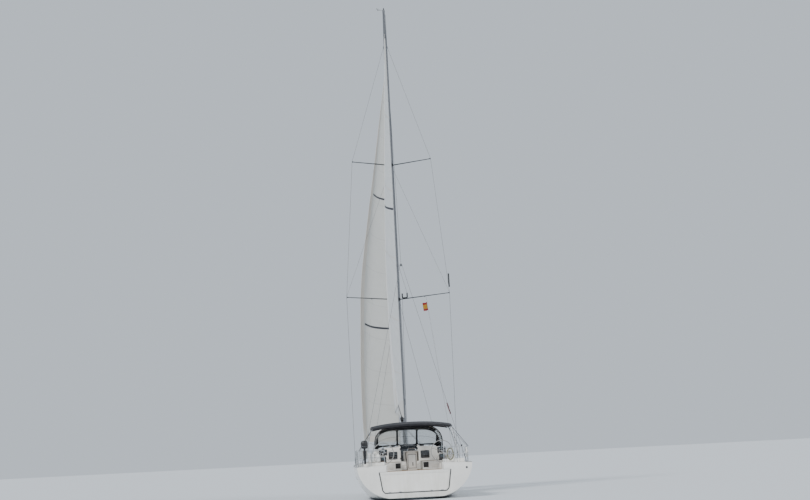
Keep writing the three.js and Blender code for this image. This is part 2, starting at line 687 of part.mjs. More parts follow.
// Main shrouds, from the hounds over both spreader tips to the chainplates.
for (const [name, side] of [['port', -1], ['starboard', 1]]) {
  const tip = ([halfSpan, , tipZ, sweep]) => [side * halfSpan, MAST_Y - sweep, tipZ];
  const foot = [side * CHAINPLATE[0], CHAINPLATE[1], CHAINPLATE[2] + 20];
  const screwTop = [
    mix(foot[0], tip(SPREADERS.lower)[0], 0.055), mix(foot[1], tip(SPREADERS.lower)[1], 0.055),
    mix(foot[2], tip(SPREADERS.lower)[2], 0.055),
  ];
  const wire = bentRod([
    [side * (MAST_HALF_WIDTH + 10), MAST_Y - 20, HOUNDS_Z], tip(SPREADERS.upper), tip(SPREADERS.lower), foot,
  ], WIRE);
  const screw = rod(foot, screwTop, 17, 8);
  const deckLevel = deckZ(foot[0], foot[1]);
  const plateBox = sideBox(
    side, CHAINPLATE[0] - 25, CHAINPLATE[0] + 5, foot[1] - 30, foot[1] + 30, deckLevel - SUNK, deckLevel + 40,
  );
  const tang = sideBox(
    side, MAST_HALF_WIDTH + SEAT, MAST_HALF_WIDTH + 18, MAST_Y - 45, MAST_Y + 5, HOUNDS_Z - 30, HOUNDS_Z + 60,
  );
  add(`shroud_${name}`, join(onDeck(plateBox), wire, screw, tang), 'steel');
}

// Forestay with its furling foil and drum.
const stayAt = (t) => FORESTAY_FOOT.map((value, k) => mix(value, FORESTAY_TOP[k], t));
add('forestay_furler', join(
  rod(stayAt(0), stayAt(1), 22, 8),
  rod(stayAt(0.006), stayAt(0.0075), 115, 16),
  rod(stayAt(0.006), stayAt(0.016), 55, 16),
  rod(stayAt(0.0145), stayAt(0.016), 115, 16),
  cut(
    box(-18, 18, MAST_Y, FORESTAY_TOP[1] + 20, FORESTAY_TOP[2] - 30, FORESTAY_TOP[2] + 60),
    mastShape(0.006),
  ),
), 'aluminium');

// Split backstay: one part from the masthead, two legs from the bridle to the quarters.
const legFeet = [1, -1].map((side) => [side * BACKSTAY_FOOT[0], BACKSTAY_FOOT[1], BACKSTAY_FOOT[2]]);
const footDeck = deckZ(BACKSTAY_FOOT[0], BACKSTAY_FOOT[1]);
add('backstay', onDeck(join(
  rod(BACKSTAY_TOP, BRIDLE, WIRE, 6),
  ball(BRIDLE, 40),
  ...legFeet.map((foot) => rod(BRIDLE, foot, WIRE, 6)),
  ...bothSides((side) => sideBox(
    side, BACKSTAY_FOOT[0] - 20, BACKSTAY_FOOT[0] + 20, BACKSTAY_FOOT[1] - 30, BACKSTAY_FOOT[1] + 30,
    footDeck - SUNK, footDeck + 50,
  )),
  cut(
    box(-12, 12, BACKSTAY_TOP[1] - 20, MAST_Y, BACKSTAY_TOP[2] - 20, BACKSTAY_TOP[2] + 30),
    mastShape(0.006),
  ),
)), 'steel');

// Genoa: rows up the luff; each row gives height, leech x and leech y.
const GENOA_ROWS = [
  // luffZ, leechZ, leechX, leechY
  [2420, 2480, -1830, 560],
  [4400, 4500, -1850, 610],
  [6700, 6700, -1790, 680],
  [9600, 9600, -1620, 770],
  [12300, 12300, -1220, 860],
  [14900, 14900, -780, 960],
  [17300, 17300, -390, 1100],
  [19300, 19300, -50, 1330],
];
// Each sail's depth as a share of its chord, and how flat its after part runs (1 is an even curve).
const GENOA_SHAPE = { camber: 0.095, flatness: 1.7 };
const MAIN_SHAPE = { camber: 0.045, flatness: 1 };
function luffPoint(z) {
  const t = (z - FORESTAY_FOOT[2]) / (FORESTAY_TOP[2] - FORESTAY_FOOT[2]);
  const y = mix(FORESTAY_FOOT[1], FORESTAY_TOP[1], t);
  return new THREE.Vector3(0, y, z);
}
function sailGrid(rows, luff, rowCount, columnCount, { camber, flatness }, luffGap) {
  const curve = (share) => share ** 0.8 * (1 - share) ** flatness;
  const deepest = curve(0.8 / (0.8 + flatness));
  return Array.from({ length: rowCount }, (_, i) => {
    const [luffZ, leechZ, leechX, leechY] = between(rows, i / (rowCount - 1));
    const from = luff(luffZ);
    const to = new THREE.Vector3(leechX, leechY, leechZ);
    const chord = to.clone().sub(from);
    const length = chord.length();
    const start = Math.min(luffGap / length, 0.5);
    const leeward = new THREE.Vector3(chord.y, -chord.x, 0).normalize();
    if (leeward.x > 0) leeward.negate();
    return Array.from({ length: columnCount }, (__, j) => {
      const share = j / (columnCount - 1);
      const depth = camber * length * (curve(share) / deepest);
      return from.clone().addScaledVector(chord, mix(start, 1, share)).addScaledVector(leeward, depth);
    });
  });
}
add('genoa', sheetSolid(sailGrid(GENOA_ROWS, luffPoint, 12, 7, GENOA_SHAPE, 25.8), 8), 'sailcloth');

// Boom, kicker and mainsail turn together about the gooseneck's pin.
const boomTurn = THREE.MathUtils.degToRad(BOOM_DEG);
const boomEnd = [
  GOOSENECK[0] - BOOM_LENGTH * Math.sin(boomTurn), GOOSENECK[1] - BOOM_LENGTH * Math.cos(boomTurn),
  GOOSENECK[2] + BOOM_RISE,
];
const boomAt = (t) => GOOSENECK.map((value, k) => mix(value, boomEnd[k], t));
function boomRing(t, share, grow) {
  const [x, y, z] = boomAt(t);
  return Array.from({ length: 12 }, (_, i) => {
    const turn = (i / 12) * Math.PI * 2;
    const across = (share * BOOM_HALF_WIDTH + grow) * Math.cos(turn);
    const up = (share * BOOM_HALF_DEPTH + grow) * Math.sin(turn);
    return [x + across * Math.cos(boomTurn), y - across * Math.sin(boomTurn), z + up];
  });
}
function boomShape(grow) {
  return loft([[0, 0.45], [0.012, 0.6], [0.03, 1], [0.985, 1], [1, 0.7]].map(
    ([t, share]) => boomRing(t, share, grow),
  ));
}
const goosePin = rod(
  [GOOSENECK[0], GOOSENECK[1], GOOSENECK[2] - goosePinHalf],
  [GOOSENECK[0], GOOSENECK[1], GOOSENECK[2] + goosePinHalf], 22, 10,
);
add('boom', join(boomShape(0), goosePin), 'aluminium');

const kickerTop = boomAt(KICKER.reach);
kickerTop[2] -= BOOM_HALF_DEPTH + KICKER.topRadius + 4;
const kickerFoot = [GOOSENECK[0], GOOSENECK[1], KICKER.footZ];
const kickerMiddle = kickerFoot.map((value, k) => mix(value, kickerTop[k], 0.55));
const barrel = ([x, y, z], halfLength, radius) => rod(
  [x - halfLength, y, z], [x + halfLength, y, z], radius, 12,
);
const kickerLug = box(
  kickerTop[0] - 14, kickerTop[0] + 14, kickerTop[1] - 45, kickerTop[1] + 45,
  kickerTop[2] - 10, kickerTop[2] + 60,
);
add('kicker', cut(join(
  barrel(kickerFoot, 14, KICKER.footRadius), rod(kickerFoot, kickerTop, 24, 10),
  rod(kickerFoot, kickerMiddle, 30, 10), barrel(kickerTop, 20, KICKER.topRadius), kickerLug,
), boomShape(SEAT)), 'aluminium');

const MAIN_ROWS = [
  // luffZ, leechZ, leechX, leechY
  [3420, 3780, -440, -4990],
  [5000, 5300, -540, -4430],
  [7000, 7200, -590, -3860],
  [9500, 9650, -605, -3130],
  [12000, 12100, -520, -2400],
  [15000, 15050, -360, -1480],
  [18000, 18000, -190, -560],
  [20900, 20900, -30, 470],
];
const MAIN_LUFF_Y = MAST_Y - MAST_HALF_DEPTH;
const mainLuff = (z) => new THREE.Vector3(0, z > HOUNDS_Z - 600 ? MAIN_LUFF_Y - 6 : MAIN_LUFF_Y, z);
const mainLuffGap = MAIN_LUFF_Y - GOOSENECK[1];
const mainCloth = sheetSolid(sailGrid(MAIN_ROWS, mainLuff, 12, 6, MAIN_SHAPE, mainLuffGap), 8);
const [, clewZ, clewX, clewY] = MAIN_ROWS[0];
const strapShare = (GOOSENECK[1] - clewY) / (GOOSENECK[1] - boomEnd[1]);
const strapFoot = boomAt(strapShare);
const clewStrap = cut(rod(strapFoot, [clewX, clewY + 12, clewZ + 40], 12, 6), boomShape(SEAT));
add('mainsail', join(mainCloth, clewStrap), 'sailcloth');

// Masthead: wind vane arm, tricolour lamp and aerial on one base.
add('masthead_unit', join(
  box(-40, 40, MAST_Y - 110, MAST_Y + 30, MASTHEAD_Z + SEAT, MASTHEAD_Z + 24),
  rod([0, MAST_Y - 40, MASTHEAD_Z + 12], [-260, MAST_Y + 60, MASTHEAD_Z + 40], 8, 6),
  rod([-255, MAST_Y + 58, MASTHEAD_Z + 20], [-255, MAST_Y + 58, MASTHEAD_Z + 110], 14, 8),
  rod([0, MAST_Y - 60, MASTHEAD_Z + 10], [0, MAST_Y - 60, MASTHEAD_Z + 110], 28, 10),
), 'black_plastic');

// Tubular radar reflector beside the starboard shroud.
const reflectorTop = [SPREADERS.lower[0] - 5, MAST_Y - SPREADERS.lower[3] + 36.6, SPREADERS.lower[2] + 880];
add('radar_reflector', rod(
  [reflectorTop[0] + 8, reflectorTop[1], reflectorTop[2] - 620], reflectorTop, 36, 10,
), 'black_plastic');

// Courtesy flag on its halyard, under the starboard lower spreader.
const HALYARD_TOP = [1250, MAST_Y - 253, 8811];
const HALYARD_FOOT = [2130, 470, 1436];
add('flag_halyard', rod(HALYARD_TOP, HALYARD_FOOT, 4, 6), 'sailcloth');
const flagAt = (t) => HALYARD_TOP.map((value, k) => mix(value, HALYARD_FOOT[k], t));
const flagTop = flagAt(0.035);
const flagFoot = flagAt(0.085);
const FLAG_FLY = 200;
const flagGrid = [0, 1, 2].map((i) => Array.from({ length: 6 }, (_, j) => {
  const t = j / 5;
  const hoist = flagTop.map((value, k) => mix(value, flagFoot[k], i / 2));
  return new THREE.Vector3(hoist[0] - 5 - FLAG_FLY * t, hoist[1] + 16 * Math.sin(t * 6), hoist[2] - 60 * t);
}));
add('courtesy_flag', sheetSolid(flagGrid, 5), 'flag_yellow');

// Furled ensign against the starboard leg of the backstay.
const legPoint = (z) => {
  const t = (BRIDLE[2] - z) / (BRIDLE[2] - BACKSTAY_FOOT[2]);
  return BRIDLE.map((value, k) => mix(value, BACKSTAY_FOOT[k], t));
};
const ENSIGN = { radius: 34, foot: 3330, head: 3800, offset: 42.7 };
const ensignEnds = [ENSIGN.foot, ENSIGN.head].map(legPoint).map(([x, y, z]) => [x, y + ENSIGN.offset, z]);
add('ensign', rod(...ensignEnds, ENSIGN.radius, 10), 'flag_red');

// Bimini canopy and frame.
const BIMINI = { aft: -6600, front: -4480, half: 1640, edgeZ: 2975, crown: 145, arch: 110 };
const biminiZ = (x, y, drop) => {
  const share = Math.min(Math.abs(x) / BIMINI.half, 1);
  const along = (y - BIMINI.aft) / (BIMINI.front - BIMINI.aft);
  return BIMINI.edgeZ + BIMINI.crown * (1 - share ** 2.4) - BIMINI.arch * (2 * along - 1) ** 2 - drop;
};
const biminiGrid = Array.from({ length: 5 }, (_, i) => Array.from({ length: 13 }, (__, j) => {
  const y = mix(BIMINI.aft, BIMINI.front, i / 4);
  const x = mix(-BIMINI.half, BIMINI.half, j / 12);
  return new THREE.Vector3(x, y, biminiZ(x, y, 0));
}));
const CANVAS = 10;
add('bimini_canopy', sheetSolid(biminiGrid, CANVAS), 'canvas');
const TUBE = 13;
const biminiFoot = [1950, -5650];
function biminiBow(y) {
  const drop = CANVAS / 2 + TUBE + 5;
  const across = [-0.96, -0.8, -0.5, 0, 0.5, 0.8, 0.96].map((share) => {
    const x = share * BIMINI.half;
    return [x, y, biminiZ(x, y, drop)];
  });
  const foot = (side) => [side * biminiFoot[0], biminiFoot[1], deckZ(biminiFoot[0], biminiFoot[1]) + 60];
  const knee = (side) => [side * (BIMINI.half + 15), mix(y, biminiFoot[1], 0.12), BIMINI.edgeZ - 170];
  return pipe([foot(-1), knee(-1), ...across, knee(1), foot(1)], TUBE, 18);
}
const biminiFeet = bothSides((side) => sideBox(
  side, biminiFoot[0] - 30, biminiFoot[0] + 30, biminiFoot[1] - 40, biminiFoot[1] + 40,
  deckZ(...biminiFoot) - SUNK, deckZ(...biminiFoot) + 90,
));
const biminiBows = [BIMINI.aft + 40, -5500, BIMINI.front - 40].map(biminiBow);
const canopyBare = sheetSolid(biminiGrid, CANVAS + 2 * SEAT);
add('bimini_frame', cut(onDeck(join(...biminiFeet, ...biminiBows)), canopyBare), 'steel');

// Sprayhood: an arched hood with three front windows and one in each side.
const HOOD_ROWS = [
  // y, halfWidth, topZ
  [-1060, 1260, 2190],
  [-1350, 1340, 2560],
  [-1700, 1400, 2860],
  [-2150, 1440, 2985],
  [-2780, 1455, 3020],
];
const HOOD_BASE_Z = 2090;
const HOOD_STEPS = 6;
const HOOD_ARC_STEPS = 12;
const hoodGrid = Array.from({ length: HOOD_STEPS + 1 }, (_, i) => {
  const [y, half, topZ] = between(HOOD_ROWS, i / HOOD_STEPS);
  const base = HOOD_BASE_Z - 10;
  return Array.from({ length: HOOD_ARC_STEPS + 1 }, (__, j) => {
    const turn = (j / HOOD_ARC_STEPS) * Math.PI;
    const x = -half * Math.sign(Math.cos(turn)) * Math.abs(Math.cos(turn)) ** 0.55;
    return new THREE.Vector3(x, y, base + (topZ - base) * Math.sin(turn) ** 0.7);
  });
});
const hoodShell = sheetSolid(hoodGrid, CANVAS);
const hoodWindows = [
  box(-385, 385, -1700, -900, 2230, 2840),
  ...bothSides((side) => sideBox(side, 465, 1180, -1690, -900, 2230, 2800)),
  ...bothSides((side) => sideBox(side, 1200, 1600, -2640, -1790, 2240, 2760)),
];
const coachroofBare = coachroofSolid(SEAT, 1250);
add('sprayhood', cut(hoodShell, ...hoodWindows, coachroofBare), 'canvas');

// Stern rails: top rail, middle rail and posts, one piece a side.
for (const [name, side] of [['port', -1], ['starboard', 1]]) {
  const route = (z, inset) => [
    [1180, -7500 + inset], [1700, -7500 + inset], [2080, -7440 + inset],
    [2200, -7230], [2215, -6700], [2225, -5900],
  ].map(([x, y]) => [side * (x - inset * 0.3), y, z]);
  const posts = [[1180, -7500], [1700, -7500], [2150, -7340], [2218, -6500], [2225, -5900]];
  const rails = join(
    pipe(route(2010, 0), TUBE, 9),
    pipe(route(1740, 0), 10, 9),
    ...posts.map(([x, y]) => rod([side * x, y, deckZ(x, y) - SUNK], [side * x, y, 2010], TUBE, 6)),
  );
  add(`pushpit_${name}`, onDeck(rails), 'steel');
}

// Bow rail.
const PULPIT_POSTS = [[690, 6750], [330, 7330]];
const pulpitPath = (z, share) => [
  [-(sheerAt(6750).halfBeam - 50), 6750, z], [-330 * share, 7400, z + 20], [-170 * share, 7800, z + 30],
  [0, 7900, z + 30], [170 * share, 7800, z + 30], [330 * share, 7400, z + 20],
  [sheerAt(6750).halfBeam - 50, 6750, z],
];
const pulpitPosts = bothSides((side) => join(...PULPIT_POSTS.map(([, y], i) => {
  const x = sheerAt(y).halfBeam - 60;
  const top = [side * [sheerAt(6750).halfBeam - 50, 345][i], [6750, 7390][i], 2300];
  return rod([side * x, y, deckZ(x, y) - SUNK], top, TUBE, 6);
})));
add('pulpit', onDeck(join(pipe(pulpitPath(2290, 1), TUBE, 16), ...pulpitPosts)), 'steel');

// Lifelines: stanchions and two wires a side, one piece.
const LIFELINE_INSET = 110;
const STANCHION_YS = [-4500, -2900, -1200, 700, 2500, 4100, 5500];
for (const [name, side] of [['port', -1], ['starboard', 1]]) {
  const foot = (y) => {
    const x = sheerAt(y).halfBeam - LIFELINE_INSET;
    return [side * x, y, deckZ(x, y)];
  };
  const raise = ([x, y, z], height) => [x, y, z + height];
  const feet = STANCHION_YS.map(foot);
  const start = [side * 2225, -5900 + TUBE + 1, 1352];
  const end = [side * (sheerAt(6750).halfBeam - 50), 6750 - TUBE - 12, 1720];
  const wires = [[640, 2000, 2240], [340, 1740, 2000]].map(([height, startZ, endZ]) => pipe([
    [start[0], start[1], startZ], ...feet.map((p) => raise(p, height)), [end[0], end[1], endZ],
  ], 5, 12, 4));
  const posts = feet.map((p) => rod(raise(p, -SUNK), raise(p, 650), 12, 5));
  add(`lifelines_${name}`, onDeck(join(...wires, ...posts)), 'steel');
}

// Helm pedestals and wheels.
const HELM = { x: 1190, y: -5960, wheelY: -6120, z: 1870, radius: 430 };
for (const [name, side] of [['port', -1], ['starboard', 1]]) {
  const x = side * HELM.x;
  const waists = [[0, 130, 210], [0.5, 95, 150], [0.85, 110, 160], [1, 120, 120]];
  const column = loft(waists.map(([t, halfX, halfY]) => {
    const z = mix(SOLE_Z + SEAT, HELM.z + 130, t);
    const y = HELM.y - 20 * t;
    return [
      [x - halfX, y - halfY * 0.6, z], [x + halfX, y - halfY * 0.6, z],
      [x + halfX, y + halfY, z], [x - halfX, y + halfY, z],
    ];
  }));
  const axle = rod([x, HELM.y, HELM.z], [x, HELM.wheelY + 42, HELM.z], 26, 10);
  add(`helm_pedestal_${name}`, join(column, axle), 'gelcoat');
  const rimGeometry = new THREE.TorusGeometry(HELM.radius, 15, 5, 20);
  rimGeometry.rotateX(Math.PI / 2);
  rimGeometry.translate(x, HELM.wheelY, HELM.z);
  const spokes = Array.from({ length: 5 }, (_, i) => {
    const turn = (i / 5) * Math.PI * 2 + Math.PI / 2;
    return rod(
      [x, HELM.wheelY, HELM.z],
      [x + HELM.radius * Math.cos(turn), HELM.wheelY, HELM.z + HELM.radius * Math.sin(turn)], 9, 5,
    );
  });
  const wheelHub = rod([x, HELM.wheelY - 25, HELM.z], [x, HELM.wheelY + 42 - SEAT, HELM.z], 48, 12);
  add(`steering_wheel_${name}`, join(fromGeometry(rimGeometry), ...spokes, wheelHub), 'steel');
  const seatTop = 1545;
  const seatZ = deckZ(2000, -7000) - SUNK;
  add(`helm_seat_${name}`, onDeck(sideBox(side, 1150, 2000, -7370, -6760, seatZ, seatTop)), 'teak');
}

// Cockpit table with two hanging leaves.
const TABLE = { aft: -5350, front: -3900, topZ: 1935, half: 262, leaf: 420, thick: 22 };
const tableBody = join(
  plate([
    [-180, SOLE_Z + SEAT], [180, SOLE_Z + SEAT], [235, TABLE.topZ - 20], [-235, TABLE.topZ - 20],
  ], 'y', TABLE.aft + 40, TABLE.front - 40),
  box(-TABLE.half, TABLE.half, TABLE.aft, TABLE.front, TABLE.topZ - 35, TABLE.topZ),
);
const LEAF_HINGE = { x: TABLE.half + CLEAR + TABLE.thick / 2, z: TABLE.topZ - TABLE.thick / 2 };
const leafEnd = 10;
const leafLugs = [TABLE.aft, TABLE.front - leafEnd + SEAT].flatMap((y) => bothSides((side) => sideBox(
  side, TABLE.half - 5, LEAF_HINGE.x + TABLE.thick / 2, y, y + leafEnd - SEAT,
  TABLE.topZ - TABLE.thick, TABLE.topZ,
)));
add('cockpit_table', join(tableBody, ...leafLugs), 'gelcoat');
for (const [name, side] of [['port', -1], ['starboard', 1]]) {
  add(`table_leaf_${name}`, sideBox(
    side, LEAF_HINGE.x - TABLE.thick / 2, LEAF_HINGE.x + TABLE.thick / 2,
    TABLE.aft + leafEnd, TABLE.front - leafEnd,
    TABLE.topZ - TABLE.leaf, TABLE.topZ,
  ), 'teak');
}

// Winches: a stepped drum on a base.
const WINCH = { x: 1575, y: -5150, radius: 84 };
const WINCH_PROFILE = [[1, 0], [1, 26], [0.72, 40], [0.6, 110], [0.78, 140], [0.86, 165], [0.5, 176]];
for (const [name, side] of [['port', -1], ['starboard', 1]]) {
  const turned = WINCH_PROFILE.map(([share, z]) => new THREE.Vector2(WINCH.radius * share, z));
  const profile = [new THREE.Vector2(0, 0), ...turned, new THREE.Vector2(0, turned.at(-1).y)];
  const geometry = new THREE.LatheGeometry(profile, 16);
  geometry.rotateX(Math.PI / 2);
  geometry.translate(side * WINCH.x, WINCH.y, WINCH_Z + SEAT);
  add(`winch_${name}`, fromGeometry(geometry), 'steel');
}

// Outboard motor for the tender, clamped to a board on the outside of the port stern rail.
const OUTBOARD = { x: -1960, boardY: -7496.3, boardThick: 20, bottomZ: 1500 };
const clampY = OUTBOARD.boardY - OUTBOARD.boardThick - SEAT;
add('outboard_bracket', box(
  OUTBOARD.x - 90, OUTBOARD.x + 90, OUTBOARD.boardY - OUTBOARD.boardThick, OUTBOARD.boardY, 1700, 2040,
), 'teak');
const cowlRings = [
  // z, half width, half depth
  [2110, 100, 110], [2150, 134, 150], [2330, 140, 160], [2400, 114, 130], [2425, 60, 80],
].map(([z, halfX, halfY]) => Array.from({ length: 12 }, (_, i) => {
  const turn = (i / 12) * Math.PI * 2;
  const squared = (value) => Math.sign(value) * Math.abs(value) ** 0.6;
  return [
    OUTBOARD.x + halfX * squared(Math.cos(turn)),
    clampY - 130 + halfY * squared(Math.sin(turn)) * 0.75,
    z,
  ];
}));
add('outboard_motor', join(
  loft(cowlRings),
  box(OUTBOARD.x - 42, OUTBOARD.x + 42, clampY - 150, clampY - 60, OUTBOARD.bottomZ, 2120),
  box(OUTBOARD.x - 55, OUTBOARD.x + 55, clampY - 70, clampY, 1820, 2000),
  rod(
    [OUTBOARD.x, clampY - 20, OUTBOARD.bottomZ + 30],
    [OUTBOARD.x, clampY - 210, OUTBOARD.bottomZ + 30], 38, 10,
  ),
), 'black_plastic');

// Mooring line, coiled and tied to the inside of the starboard stern rail.
const COIL = { x: 1440, z: 1735, faceY: -7492.3, thick: 70, halfWidth: 155, halfHeight: 255, strand: 70 };
const coilOutline = (inset) => Array.from({ length: 24 }, (_, i) => {
  const turn = (i / 24) * Math.PI * 2;
  return [
    COIL.x + (COIL.halfWidth - inset) * Math.cos(turn), COIL.z + (COIL.halfHeight - inset) * Math.sin(turn),
  ];
});
add('coiled_line', cut(
  plate(coilOutline(0), 'y', COIL.faceY, COIL.faceY + COIL.thick),
  plate(coilOutline(COIL.strand), 'y', COIL.faceY - 10, COIL.faceY + COIL.thick + 10),
), 'sailcloth');

// Horseshoe lifebuoy inside the starboard side rail.
const buoyArc = Array.from({ length: 9 }, (_, i) => {
  const turn = mix(-0.28, 1.28, i / 8) * Math.PI;
  return [0, -6950 + 190 * Math.cos(turn), 1735 + 190 * Math.sin(turn)];
});
const BUOY_X = 2210 - TUBE - 48 - 2.7;
add('lifebuoy', pipe(buoyArc.map(([, y, z]) => [BUOY_X, y, z]), 48, 14, 8), 'white_plastic');

// Stemhead fitting with its roller, and the anchor.
const stemDeck = deckZ(0, 7300);
add('stemhead_fitting', cut(join(
  box(-75, 75, 7120, 7960, stemDeck - SUNK, stemDeck + 22),
  ...bothSides((side) => sideBox(side, 60, 75, 7420, 8060, stemDeck + 2, stemDeck + 90)),
  rod([-70, 8010, stemDeck + 35], [70, 8010, stemDeck + 35], 26, 12),
  box(-20, 20, 7520, 7600, stemDeck + 2, stemDeck + 70),
), deckTop, rod(stayAt(-0.01), stayAt(0.01), 22.5, 8)), 'steel');
const anchorZ = stemDeck + 35 + 26 + SEAT;
add('anchor', join(
  plate([
    [7650, anchorZ], [8100, anchorZ], [8150, anchorZ - 60], [8200, anchorZ - 60], [8120, anchorZ + 45],
    [7650, anchorZ + 30],
  ], 'x', -14, 14),
  loft([
    // y, half width, z, depth of the keel
    [8160, 24, anchorZ - 10, 30], [8190, 130, anchorZ - 150, 26], [8130, 150, anchorZ - 280, 20],
    [8010, 16, anchorZ - 420, 10],
  ].map(([y, half, z, deep]) => [[-half, y, z], [0, y + deep, z - 20], [half, y, z], [0, y - 8, z + 6]])),
), 'steel');

// Swim platform, closed in the transom; it folds down about its lower edge.
const PLATFORM_HINGE = [TRANSOM_Y - 1.6, DOOR_BOTTOM_Z - CLEAR / 2];
const hingeRadius = CLEAR / 2 - SEAT;
const hingeHalf = 1000;
add('swim_platform', join(
  plate(doorOutline(0), 'y', TRANSOM_Y, TRANSOM_Y + DOOR_THICK),
  rod([-hingeHalf, ...PLATFORM_HINGE], [hingeHalf, ...PLATFORM_HINGE], hingeRadius, 8),
  box(
    -hingeHalf, hingeHalf, PLATFORM_HINGE[0] - 2, PLATFORM_HINGE[0] + 4,
    PLATFORM_HINGE[1], DOOR_BOTTOM_Z + 5,
  ),
), 'gelcoat');

// Companionway: sliding hatch and two doors.
add('companionway_hatch', box(
  -COMPANION_HALF - 50, COMPANION_HALF + 50, HATCH_AFT_Y, HATCH_AFT_Y + HATCH_LENGTH, hatchZ, hatchZ + 28,
), 'smoked');
const DOOR_Y = COACHROOF_STATIONS[0][0] - CLEAR;
const DOOR_LEAF = 14;
const BARREL = 9;
const DOOR_HINGE = {
  x: COMPANION_HALF + 45, y: COACHROOF_STATIONS[0][0] - SEAT - BARREL, strap: 25, height: 80,
};
for (const [name, side] of [['port', -1], ['starboard', 1]]) {
  const edge = DOOR_HINGE.x - DOOR_HINGE.strap;
  const leaf = sideBox(side, 3, edge, DOOR_Y - DOOR_LEAF, DOOR_Y, SILL_Z + CLEAR, hatchZ - CLEAR);
  const hinges = [SILL_Z + DOOR_HINGE.height, hatchZ - 2 * DOOR_HINGE.height].map((z) => join(
    rod(
      [side * DOOR_HINGE.x, DOOR_HINGE.y, z],
      [side * DOOR_HINGE.x, DOOR_HINGE.y, z + DOOR_HINGE.height], BARREL, 8,
    ),
    sideBox(side, edge - 10, DOOR_HINGE.x, DOOR_HINGE.y - 4, DOOR_HINGE.y + 2, z, z + DOOR_HINGE.height),
  ));
  add(`companionway_door_${name}`, join(leaf, ...hinges), 'smoked');
}

// Hatch lids and the anchor locker's lid: hinged at their forward edges, each along its own slope.
const LID_THICK = 26;
function lidOn({ y, length, half }, zAft, zFore) {
  return plate([
    [y, zAft], [y + length, zFore], [y + length, zFore + LID_THICK], [y, zAft + LID_THICK],
  ], 'x', -half, half);
}
const saloonLidZ = roofTop(SALOON_HATCH.y) + 8 + SEAT;
const deckLid = (place) => lidOn(
  place, deckZ(0, place.y) + SEAT, deckZ(0, place.y + place.length) + SEAT,
);
add('saloon_hatch', lidOn(SALOON_HATCH, saloonLidZ, saloonLidZ), 'smoked');
add('fore_hatch', onDeck(deckLid(FORE_HATCH)), 'smoked');
add('anchor_locker_lid', onDeck(deckLid(LOCKER)), 'gelcoat');

export default yacht;
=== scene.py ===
# The sailing yacht: the finished look of every piece, built around its frame. Metres. +Y is the bow,
# +X is starboard, +Z is up, and the origin is on the centreline at the waterline.
import math

import bpy
from mathutils import Matrix, Vector


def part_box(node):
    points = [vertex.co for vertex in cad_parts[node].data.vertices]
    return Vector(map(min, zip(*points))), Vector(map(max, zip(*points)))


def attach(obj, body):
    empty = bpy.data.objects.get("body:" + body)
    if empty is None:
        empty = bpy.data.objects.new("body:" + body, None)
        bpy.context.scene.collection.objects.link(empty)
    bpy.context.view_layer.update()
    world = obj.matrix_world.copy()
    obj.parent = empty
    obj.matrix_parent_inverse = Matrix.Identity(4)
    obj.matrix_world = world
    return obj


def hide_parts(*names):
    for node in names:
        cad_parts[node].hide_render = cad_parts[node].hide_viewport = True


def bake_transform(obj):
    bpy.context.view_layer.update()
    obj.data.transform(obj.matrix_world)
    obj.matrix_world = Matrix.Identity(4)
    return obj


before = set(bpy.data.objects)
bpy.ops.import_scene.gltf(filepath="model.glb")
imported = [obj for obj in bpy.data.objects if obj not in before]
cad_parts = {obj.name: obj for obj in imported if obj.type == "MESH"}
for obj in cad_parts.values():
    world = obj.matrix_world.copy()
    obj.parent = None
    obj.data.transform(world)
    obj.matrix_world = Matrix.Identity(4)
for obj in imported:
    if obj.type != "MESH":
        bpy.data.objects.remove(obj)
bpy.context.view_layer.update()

# Studio: a pale floor at the waterline, soft daylight from the port quarter, and a camera astern
# whose lens looks a little upwards and rolls with the yacht's heel.
LENS = 75.6
CAMERA_PLACE = Vector((-3.01, -75.5, 1.87))
YAW = math.radians(2.23)
PITCH = math.radians(6.91)
HEEL = math.radians(2.9)
PALE = (0.62, 0.65, 0.68, 1.0)

camera_data = bpy.data.cameras.new("camera")
camera_data.lens = LENS
camera_data.clip_end = 600.0
camera = bpy.data.objects.new("camera", camera_data)
bpy.context.scene.collection.objects.link(camera)
forward = Vector((math.sin(YAW) * math.cos(PITCH), math.cos(YAW) * math.cos(PITCH), math.sin(PITCH)))
right = Vector((math.cos(YAW), -math.sin(YAW), 0.0))
facing = Matrix((right, right.cross(forward), -forward)).transposed()
camera.matrix_world = (
    Matrix.Translation(CAMERA_PLACE) @ Matrix.Rotation(HEEL, 4, "Y") @ facing.to_4x4()
)
bpy.context.scene.camera = camera

bpy.ops.object.select_all(action="DESELECT")
bpy.ops.mesh.primitive_grid_add(x_subdivisions=4, y_subdivisions=4, size=900)
floor = bpy.context.object
floor.name = "floor"
floor_paint = bpy.data.materials.new("floor_paint")
floor_paint.use_nodes = True
floor_paint.node_tree.nodes["Principled BSDF"].inputs["Base Color"].default_value = PALE
floor_paint.node_tree.nodes["Principled BSDF"].inputs["Roughness"].default_value = 0.9
floor.data.materials.append(floor_paint)

sky = bpy.data.worlds.new("studio")
sky.use_nodes = True
sky.node_tree.nodes["Background"].inputs["Color"].default_value = (0.78, 0.86, 0.95, 1.0)
sky.node_tree.nodes["Background"].inputs["Strength"].default_value = 0.8
bpy.context.scene.world = sky
for lamp_name, strength, softness, lean, turn in (
    ("key_light", 2.4, 14.0, 48.0, -38.0),
    ("fill_light", 1.1, 45.0, 62.0, 48.0),
):
    lamp = bpy.data.lights.new(lamp_name, "SUN")
    lamp.energy = strength
    lamp.angle = math.radians(softness)
    holder = bpy.data.objects.new(lamp_name, lamp)
    bpy.context.scene.collection.objects.link(holder)
    holder.rotation_euler = (math.radians(lean), 0.0, math.radians(turn))

